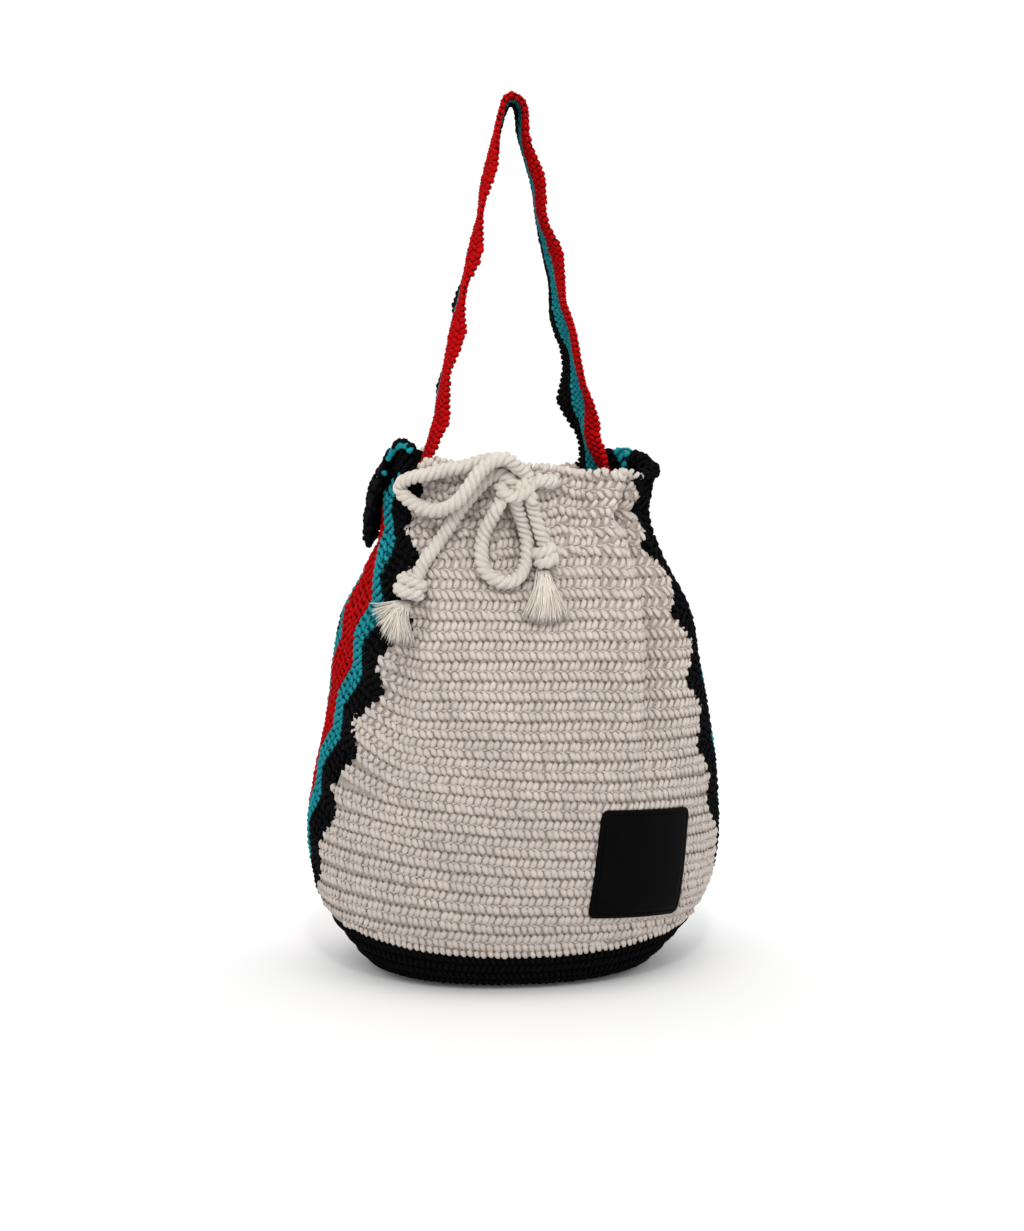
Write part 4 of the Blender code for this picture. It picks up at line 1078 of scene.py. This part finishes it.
# The strap's four stripe edges (front edge, red to teal, teal to black, back edge) at stations from the left end over
# the top to the right end, drawn as the front view shows them: down from the top of the bag, and across
STRAP_LEFT = (
    (380, -85.2, -91.3, -89.0, -89.0), (362, -77.2, -85.8, -83.0, -83.0), (345, -69.2, -80.8, -78.0, -78.0),
    (328, -62.2, -75.8, -73.0, -73.0), (312, -62.6, -73.3, -73.0, -73.5), (298, -63.2, -70.3, -71.0, -74.0),
    (280, -61.7, -67.0, -66.0, -68.0), (262, -52.7, -63.8, -61.0, -61.0), (245, -46.6, -60.8, -58.0, -58.0),
    (228, -46.7, -56.8, -56.0, -56.6), (213, -48.2, -51.8, -53.0, -58.4), (194, -45.2, -48.3, -48.0, -50.0),
    (175, -33.2, -44.5, -42.0, -44.0), (158, -28.6, -41.3, -38.0, -38.0), (142, -29.4, -36.8, -35.0, -35.0),
    (125, -30.6, -32.1, -31.7, -32.0), (110, -27.4, -31.0, -30.0, -30.0), (94, -20.9, -29.2, -26.0, -25.0),
    (78, -14.0, -25.3, -22.0, -20.0), (62, -14.0, -21.2, -18.0, -16.0), (47, -14.8, -17.0, -16.0, -14.4),
    (33, -14.0, -13.7, -12.8, -11.5), (20, -10.5, -10.2, -9.0, -6.7))
STRAP_TOP = (
    ((-8.8, 11.5), (-8.2, 13.0), (-7.0, 15.0), (-5.7, 17.0)), ((-6.0, 6.0), (-5.2, 8.2), (-4.5, 11.0), (-4.7, 14.8)),
    ((-0.2, 3.2), (0.0, 6.0), (-0.5, 10.0), (-1.2, 14.9)), ((7.8, 7.0), (7.0, 8.8), (4.5, 11.5), (1.2, 16.0)),
    ((12.6, 13.8), (11.0, 14.8), (7.0, 16.5), (2.8, 18.0)))
STRAP_RIGHT = (
    (20, 14.2, 12.0, 7.8, 3.9), (33, 15.2, 12.0, 8.3, 5.2), (47, 16.3, 11.2, 9.0, 7.2), (62, 22.3, 14.2, 12.8, 11.8),
    (78, 29.8, 18.0, 17.0, 16.5), (94, 33.2, 24.0, 22.0, 20.4), (110, 33.5, 24.8, 24.0, 23.2), (125, 33.4, 27.0, 26.0, 24.8),
    (142, 39.3, 32.5, 29.5, 28.2), (158, 49.1, 38.0, 33.0, 31.4), (175, 51.1, 42.6, 36.5, 35.2), (194, 51.1, 46.0, 41.0, 39.2),
    (213, 52.1, 49.5, 42.3, 40.0), (228, 56.6, 54.5, 44.2, 40.6), (245, 62.1, 59.5, 50.5, 45.2), (262, 66.3, 62.3, 59.2, 49.8),
    (280, 69.0, 66.0, 60.3, 50.7), (298, 72.4, 70.0, 60.3, 48.2), (312, 78.8, 74.0, 60.5, 46.5), (328, 86.0, 74.0, 67.5, 54.2),
    (345, 89.2, 74.0, 73.5, 64.7), (362, 92.5, 79.8, 76.0, 68.9), (380, 95.3, 89.5, 76.0, 70.1))
EYE, LOOK, FOCAL = (2.4, 0.62), math.atan2(0.3695, 2.4), 3429.7   # distance and height of the front view, its slope


def strap_station(row, fine):
    """Points across the strap at one station, from its back edge to its front edge."""
    if len(row) == 5:
        row = tuple((x, row[0]) for x in row[1:])
    a = np.array([p[0] for p in row]) / FOCAL
    b = (525.5 - np.array([p[1] for p in row])) / FOCAL
    ahead = math.cos(LOOK) + b * math.sin(LOOK)
    xs = EYE[0] * a / ahead
    zs = EYE[1] + EYE[0] * (b * math.cos(LOOK) - math.sin(LOOK)) / ahead
    k = np.array([0.024, 0.008, -0.008, -0.024])
    x, z = np.zeros(len(fine)), np.zeros(len(fine))
    for i in range(4):
        w = np.ones(len(fine))
        for j in range(4):
            if j != i:
                w = w * (fine - k[j]) / (k[i] - k[j])
        x += w * xs[i]
        z += w * zs[i]
    gx, gz = np.gradient(x, fine), np.gradient(z, fine)
    f = np.sqrt(np.clip(1 - gx**2 - gz**2, 0.09, 1))
    d = np.concatenate([[0], np.cumsum((f[1:] + f[:-1]) / 2 * np.diff(fine))])
    mid = np.interp(0, fine, x)
    d = -(d - np.interp(0, fine, d)) + 0.325 * mid       # away from the viewer
    grow = (EYE[0] + d) / EYE[0]
    x, z = x * grow, EYE[1] + (z - EYE[1]) * grow
    return np.stack([ORIGIN[0] + x * math.cos(VIEW) + d * math.sin(VIEW),
                     ORIGIN[1] - x * math.sin(VIEW) + d * math.cos(VIEW), z], -1)


def strap_foot(side, r, z, fine):
    """The strap's end inside the neck, where it follows the wall."""
    beta = -np.clip(fine / (STRAP_W / 2), -1.3, 1.3) * math.radians(27)
    w = np.concatenate([[0], np.cumsum(np.sin(beta[1:]) * np.diff(fine))])
    f = np.concatenate([[0], np.cumsum(np.cos(beta[1:]) * np.diff(fine))])
    w, f = w - np.interp(0, fine, w), f - np.interp(0, fine, f)
    px = side * (r + w)
    return np.stack([ORIGIN[0] + px * math.cos(VIEW) + f * math.sin(VIEW),
                     ORIGIN[1] + px * math.sin(VIEW) - f * math.cos(VIEW), np.full(len(fine), z)], -1)


STRAP_FEET = ((0.0776, 0.300), (0.0772, 0.312), (0.0755, 0.324), (0.0725, 0.336))
FINE = np.linspace(-0.030, 0.030, 41)


def strap_grid(fine, step):
    rows = [strap_foot(-1, r, z, fine) for r, z in STRAP_FEET]
    rows += [strap_station(r, fine) for r in STRAP_LEFT + STRAP_TOP + STRAP_RIGHT]
    rows += [strap_foot(1, r, z, fine) for r, z in STRAP_FEET[::-1]]
    g = np.array(rows)                                   # stations, across, xyz
    ext = np.concatenate([2 * g[:1] - g[1:2], g, 2 * g[-1:] - g[-2:-1]])
    t = np.linspace(0, 1, 12, endpoint=False)[:, None, None]
    out = []
    for i in range(1, len(ext) - 2):
        p0, p1, p2, p3 = ext[i - 1], ext[i], ext[i + 1], ext[i + 2]
        out.append(0.5 * (2 * p1 + (p2 - p0) * t + (2 * p0 - 5 * p1 + 4 * p2 - p3) * t**2
                          + (3 * p1 - p0 - 3 * p2 + p3) * t**3))
    out = np.concatenate(out + [g[-1:]])
    mid = out[:, len(fine) // 2]
    arc = np.concatenate([[0], np.cumsum(np.linalg.norm(np.diff(mid, axis=0), axis=1))])
    n = int(arc[-1] / step)
    at = np.linspace(0, arc[-1], n + 1)
    grid = np.empty((n + 1, len(fine), 3))
    for j in range(len(fine)):
        for k in range(3):
            grid[:, j, k] = np.interp(at, arc, out[:, j, k])
    return grid, at


GRID, STRAP_ARC = strap_grid(FINE, 0.002)
for _ in range(2):
    GRID[1:-1] = 0.25 * GRID[:-2] + 0.5 * GRID[1:-1] + 0.25 * GRID[2:]
STRAP_LEN = float(STRAP_ARC[-1])
GRID_N = unit(np.cross(np.gradient(GRID, axis=0), np.gradient(GRID, axis=1)))
if GRID_N[len(GRID) // 2, 20, 2] < 0:
    GRID_N = -GRID_N


def bilinear(tab, fi, fj):
    i = np.clip(fi.astype(int), 0, tab.shape[0] - 2)
    j = np.clip(fj.astype(int), 0, tab.shape[1] - 2)
    u, v = (fi - i)[..., None], (fj - j)[..., None]
    return ((1 - u) * (1 - v) * tab[i, j] + (1 - u) * v * tab[i, j + 1]
            + u * (1 - v) * tab[i + 1, j] + u * v * tab[i + 1, j + 1])


def M_strap(t, w, o):
    """t along the strap from its left end, w across it (front positive), o outward from its middle."""
    t, w, o = np.broadcast_arrays(t, w, o)
    fi = t / STRAP_LEN * (len(GRID) - 1)
    fj = (w - FINE[0]) / (FINE[1] - FINE[0])
    return bilinear(GRID, fi, fj) + unit(bilinear(GRID_N, fi, fj)) * o[..., None]


st = Stitches()
ROWS_STRAP, PITCH_STRAP = 12, 0.0041
for r in range(ROWS_STRAP):
    w0 = -STRAP_W / 2 + (r + 0.5) * STRAP_W / ROWS_STRAP
    t = np.arange(0.003, STRAP_LEN - 0.003, PITCH_STRAP) + (0.5 * PITCH_STRAP if r % 2 else 0)
    w = w0 + 0.0003 * rng.normal(size=len(t))
    col = np.full(len(t), 0 if r < 4 else (1 if r < 8 else 2))
    if r == 7:
        col = np.where(t < 0.5 * STRAP_LEN, 2, 1)
    sl = 0.0011 if r % 2 else -0.0011
    tone = 0.05 * rng.normal(size=len(t))
    for face in (1, -1):
        u, v, o = leg(sl * face, -0.0023, 0.0023, rise=0.0006 * face, low=face * 0.0005)
        lay(st, M_strap, t, w, (1.0, 0.0), (0.0, 1.0), u, v, o, 0.00195 * LEG_A, 0.00125 * LEG_A, col, tone)
strap_stitches = st.make("shoulder_strap_stitches", [black, teal, red])
nt, nw = 340, 28
T = np.linspace(0.001, STRAP_LEN - 0.001, nt)[:, None] * np.ones((1, nw))
Wd = np.linspace(-STRAP_W / 2 + 0.0008, STRAP_W / 2 - 0.0008, nw)[None] * np.ones((nt, 1))
wc = (Wd[:-1, :-1] + Wd[1:, 1:]) / 2
strap_cloth = cloth("shoulder_strap_cloth", M_strap, T, Wd, 0.0006, -0.0006, [black_cloth, teal_cloth, red_cloth],
                    np.where(wc < -0.008, 0, np.where(wc < 0.008, 1, 2)).ravel())

# ---------------------------------------------------------------------------------------------
# Base
# ---------------------------------------------------------------------------------------------
BASE_FLOOR = 0.0060


def M_base(f, g, o):
    """f is the fraction of the way round from the front middle, g the way down: 0 at the edge, 1 at the turn onto the
    underside, 2 at the middle of the underside."""
    f, g, o = np.broadcast_arrays(f, g, o)
    zt = np.full(f.shape, BASE_RISE)
    for _ in range(4):
        per = perimeter(zt)
        s = f * per
        zt = base_edge(np.minimum(np.abs(s), per / 2 - np.abs(s)))
    k = np.clip(g, 0, 1)
    z = zt * (1 - k) ** 1.1 + 0.0017 * k
    p, n = plan(f * perimeter(z), z, FRONT)
    under = np.clip(g - 1, 0, 1)
    c = np.array([ORIGIN[0] - 0.002, ORIGIN[1]])
    tilt_n = smooth(k * 1.15 - 0.15) * 0.9
    xy = p + n * (o * np.cos(tilt_n))[..., None]
    xy = c + (xy - c) * (1 - under)[..., None]
    z = z - o * np.where(under > 0, 1.0, np.sin(tilt_n)) - 0.0008 * smooth(under * 8)
    return np.concatenate([xy, z[..., None]], -1)


st = Stitches()
for i, g in enumerate((0.10, 0.36, 0.62, 0.86)):
    n = 150
    f = -0.5 + (np.arange(n) + 0.5 * (i % 2)) / n
    per = float(perimeter(0.02))
    u, v, o = leg(0.0013 if i % 2 else -0.0013, -0.0030, 0.0030, rise=0.0010, low=-0.0016)
    scale = np.array([1 / per, 0.0]), np.array([0.0, -1 / 0.028])
    S, G = f[:, None] + (u * scale[0][0])[None], g + (v * scale[1][1])[None] + 0 * f[:, None]
    O = o[None] + 0 * S
    P = M_base(S, G, O)
    N = unit(M_base(S, G, O + 0.001) - M_base(S, G, O - 0.001))
    jig = 1 + 0.06 * rng.normal(size=(n, 1))
    st.add(P, N, 0.0017 * LEG_A[None] * jig, 0.0014 * LEG_A[None] * jig, 0, 0.05 * rng.normal(size=n))
for i in range(13):
    frac = (i + 0.5) / 13.5
    n = max(8, int(round(float(perimeter(0.003)) * (1 - frac) / 0.0050)))
    f = -0.5 + (np.arange(n) + 0.5 * (i % 2)) / n
    per = max(float(perimeter(0.003)) * (1 - frac), 0.02)
    u, v, o = leg(0.0013 if i % 2 else -0.0013, -0.0030, 0.0030, rise=0.0007, low=-0.0012)
    S, G = f[:, None] + (u / per)[None], 1 + frac + (v / 0.082)[None] + 0 * f[:, None]
    P = M_base(S, np.clip(G, 1.0, 1.995), o[None] + 0 * S)
    P[..., 2] = np.maximum(P[..., 2], 0.0014)
    N = np.zeros_like(P) + np.array([0, 0, -1.0])
    st.add(P, N, 0.0017 * LEG_A[None] + 0 * f[:, None], 0.0013 * LEG_A[None] + 0 * f[:, None], 0, 0.05 * rng.normal(size=n))
base_stitches = st.make("base_panel_stitches", [black])
nf, ng = 161, 60
Fg = np.linspace(-0.5, 0.5, nf)[:, None] * np.ones((1, ng))
Gg = np.concatenate([np.linspace(0.02, 1, 30), np.linspace(1, 1.985, 31)[1:]])[None] * np.ones((nf, 1))
A = M_base(Fg[:-1], Gg[:-1], np.full((nf - 1, ng), -0.0020))
Bm = A.copy()
inner = M_base(Fg[:-1], Gg[:-1], np.full((nf - 1, ng), -WALL))
inner[..., 2] = np.maximum(inner[..., 2], 0.0060)
verts = np.concatenate([A.reshape(-1, 3), inner.reshape(-1, 3)])
I = np.arange((nf - 1) * ng).reshape(nf - 1, ng)
I2 = np.roll(I, -1, 0)
f1 = np.stack([I[:, :-1], I[:, 1:], I2[:, 1:], I2[:, :-1]], -1).reshape(-1, 4)
f2 = f1[:, ::-1] + A.reshape(-1, 3).shape[0]
off = A.reshape(-1, 3).shape[0]
rim_f = np.stack([I2[:, 0], I2[:, 0] + off, I[:, 0] + off, I[:, 0]], -1)
hub = np.stack([I[:, -1], I[:, -1] + off, I2[:, -1] + off, I2[:, -1]], -1)
base_cloth = link("base_panel_cloth", verts, np.concatenate([f1, f2, rim_f, hub]).tolist(), [black_cloth])
bm = bmesh.new()
bm.from_mesh(base_cloth.data)
bmesh.ops.recalc_face_normals(bm, faces=bm.faces)
bm.to_mesh(base_cloth.data)
bm.free()

# ---------------------------------------------------------------------------------------------
# Leather patch
# ---------------------------------------------------------------------------------------------
leather = bpy.data.materials.new("black leather")
leather.use_nodes = True
t = leather.node_tree
b = t.nodes["Principled BSDF"]
b.inputs["Roughness"].default_value = 0.5
b.inputs["Specular IOR Level"].default_value = 0.03
co = node(t, "ShaderNodeTexCoord")
grain = node(t, "ShaderNodeTexVoronoi", feature="DISTANCE_TO_EDGE")
grain.inputs["Scale"].default_value = 900.0
mott = node(t, "ShaderNodeTexNoise")
mott.inputs["Scale"].default_value = 45.0
mott.inputs["Detail"].default_value = 6.0
t.links.new(co.outputs["Object"], grain.inputs["Vector"])
t.links.new(co.outputs["Object"], mott.inputs["Vector"])
ramp = node(t, "ShaderNodeValToRGB")
ramp.color_ramp.elements[0].position, ramp.color_ramp.elements[0].color = 0.3, (0.0008, 0.0008, 0.0009, 1)
ramp.color_ramp.elements[1].position, ramp.color_ramp.elements[1].color = 0.75, (0.0018, 0.0017, 0.0018, 1)
t.links.new(mott.outputs["Fac"], ramp.inputs["Fac"])
t.links.new(ramp.outputs["Color"], b.inputs["Base Color"])
rr = node(t, "ShaderNodeMapRange")
rr.inputs["To Min"].default_value, rr.inputs["To Max"].default_value = 0.42, 0.62
t.links.new(mott.outputs["Fac"], rr.inputs["Value"])
t.links.new(rr.outputs["Result"], b.inputs["Roughness"])
bp = node(t, "ShaderNodeBump")
bp.inputs["Strength"].default_value = 0.25
bp.inputs["Distance"].default_value = 0.0002
t.links.new(grain.outputs["Distance"], bp.inputs["Height"])
t.links.new(bp.outputs["Normal"], b.inputs["Normal"])

NP, R_C, TH = 56, 0.0055, 0.0026


def patch_outline(inset):
    """Rounded square, as (right, up) offsets from its middle."""
    pts = []
    hw, hh, r = PATCH_W / 2 - inset, PATCH_H / 2 - inset, R_C - inset * 0.6
    for cx, cy, a0 in ((hw - r, hh - r, 0), (-hw + r, hh - r, 90), (-hw + r, -hh + r, 180), (hw - r, -hh + r, 270)):
        for k in range(9):
            a = math.radians(a0 + 90 * k / 8)
            pts.append((cx + r * math.cos(a), cy + r * math.sin(a)))
    fine = []
    for k in range(len(pts)):
        p0, p1 = np.array(pts[k]), np.array(pts[(k + 1) % len(pts)])
        m = max(1, int(np.linalg.norm(p1 - p0) / 0.004))
        for j in range(m):
            fine.append(p0 + (p1 - p0) * j / m)
    return np.array(fine)


def patch_point(xy, off):
    t = math.radians(PATCH_TURN)
    s = PATCH_S + xy[..., 0] * math.cos(t) - xy[..., 1] * math.sin(t)
    z = PATCH_Z + xy[..., 0] * math.sin(t) + xy[..., 1] * math.cos(t)
    return surf(s, z, off)


outer = patch_outline(0.0)
rings = []
for inset, off in ((0.0, 0.0004), (0.0, 0.0018), (0.00035, 0.0024), (0.0010, TH + 0.0002), (0.0028, TH + 0.0004), (0.0034, TH - 0.0001),
                   (0.0040, TH + 0.0004)):
    k = 1 - inset / (PATCH_W / 2)
    rings.append(patch_point(outer * (k, 1 - inset / (PATCH_H / 2)), np.full(len(outer), off)))
for k in (0.85, 0.7, 0.55, 0.4, 0.25, 0.1):
    rings.append(patch_point(outer * k, np.full(len(outer), TH + 0.0005)))
n = len(outer)
verts = np.concatenate(rings + [patch_point(np.zeros((1, 2)), np.array([TH + 0.0005]))])
faces = []
for i in range(len(rings) - 1):
    for j in range(n):
        faces.append((i * n + j, i * n + (j + 1) % n, (i + 1) * n + (j + 1) % n, (i + 1) * n + j))
for j in range(n):
    faces.append(((len(rings) - 1) * n + j, (len(rings) - 1) * n + (j + 1) % n, len(verts) - 1))
faces.append(tuple(range(n))[::-1])
patch = link("leather_patch_piece", verts, faces, [leather])
patch.data.set_sharp_from_angle(angle=math.radians(45))

# ---------------------------------------------------------------------------------------------
# What rides and what stands for what
# ---------------------------------------------------------------------------------------------
for body_piece, stitch_piece, cad, slot_name, flat in (
        (front_cloth, front_stitches, "front_panel", "front", (0.330, 0.350)),
        (back_cloth, back_stitches, "back_panel", "back", (0.250, 0.345)),
        (left_cloth, left_stitches, "left_gusset", "gusset_left", (0.118, 0.405)),
        (right_cloth, right_stitches, "right_gusset", "gusset_right", (0.118, 0.345)),
        (strap_cloth, strap_stitches, "shoulder_strap", "strap", (0.048, round(STRAP_LEN, 3))),
        (base_cloth, base_stitches, "base_panel", "base", (0.255, 0.225))):
    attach(body_piece, "root")
    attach(stitch_piece, "root")
    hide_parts(cad)
    area = sum(p.area for p in body_piece.data.polygons) / 2
    print("cloth", cad, "area per side", round(area, 4), "flat", flat, round(flat[0] * flat[1], 4))
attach(patch, "root")
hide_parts("leather_patch")

# ---------------------------------------------------------------------------------------------
# Floor and light
# ---------------------------------------------------------------------------------------------
floor_mat = bpy.data.materials.new("pale floor")
floor_mat.use_nodes = True
fb = floor_mat.node_tree.nodes["Principled BSDF"]
fb.inputs["Base Color"].default_value = (0.95, 0.95, 0.95, 1)
fb.inputs["Roughness"].default_value = 0.9
bm = bmesh.new()
bmesh.ops.create_grid(bm, x_segments=2, y_segments=2, size=6.0)
me = bpy.data.meshes.new("floor")
bm.to_mesh(me)
bm.free()
floor = bpy.data.objects.new("floor", me)
floor.location = (0, 0, -0.0004)
me.materials.append(floor_mat)
bpy.context.scene.collection.objects.link(floor)

world = bpy.data.worlds.new("studio")
bpy.context.scene.world = world
world.use_nodes = True
bg = world.node_tree.nodes["Background"]
bg.inputs["Color"].default_value = (1.0, 1.0, 1.0, 1)
bg.inputs["Strength"].default_value = 1.08


def area_light(name, where, aim_at, size, power, colour=(1, 1, 1)):
    li = bpy.data.lights.new(name, "AREA")
    li.shape = "SQUARE"
    li.size = size
    li.energy = power
    li.color = colour
    ob = bpy.data.objects.new(name, li)
    ob.location = where
    ob.rotation_euler = (Vector(aim_at) - Vector(where)).to_track_quat("-Z", "Y").to_euler()
    bpy.context.scene.collection.objects.link(ob)
    return ob


area_light("key", (-0.9, -1.9, 2.1), (0, 0, 0.25), 1.2, 7, (1.0, 0.99, 0.97))
area_light("fill", (1.9, -1.4, 1.2), (0, 0, 0.25), 1.6, 1, (0.96, 0.98, 1.0))
li = bpy.data.lights.new("on the bag", "SPOT")
li.energy = 150
li.spot_size = math.radians(17)
li.spot_blend = 1.0
li.shadow_soft_size = 0.22
li.color = (1.0, 0.985, 0.96)
spot = bpy.data.objects.new("on the bag", li)
spot.location = (-0.20, -1.90, 2.15)
spot.rotation_euler = (Vector((0.01, 0.0, 0.42)) - spot.location).to_track_quat("-Z", "Y").to_euler()
bpy.context.scene.collection.objects.link(spot)
bpy.context.scene.view_settings.view_transform = "Standard"
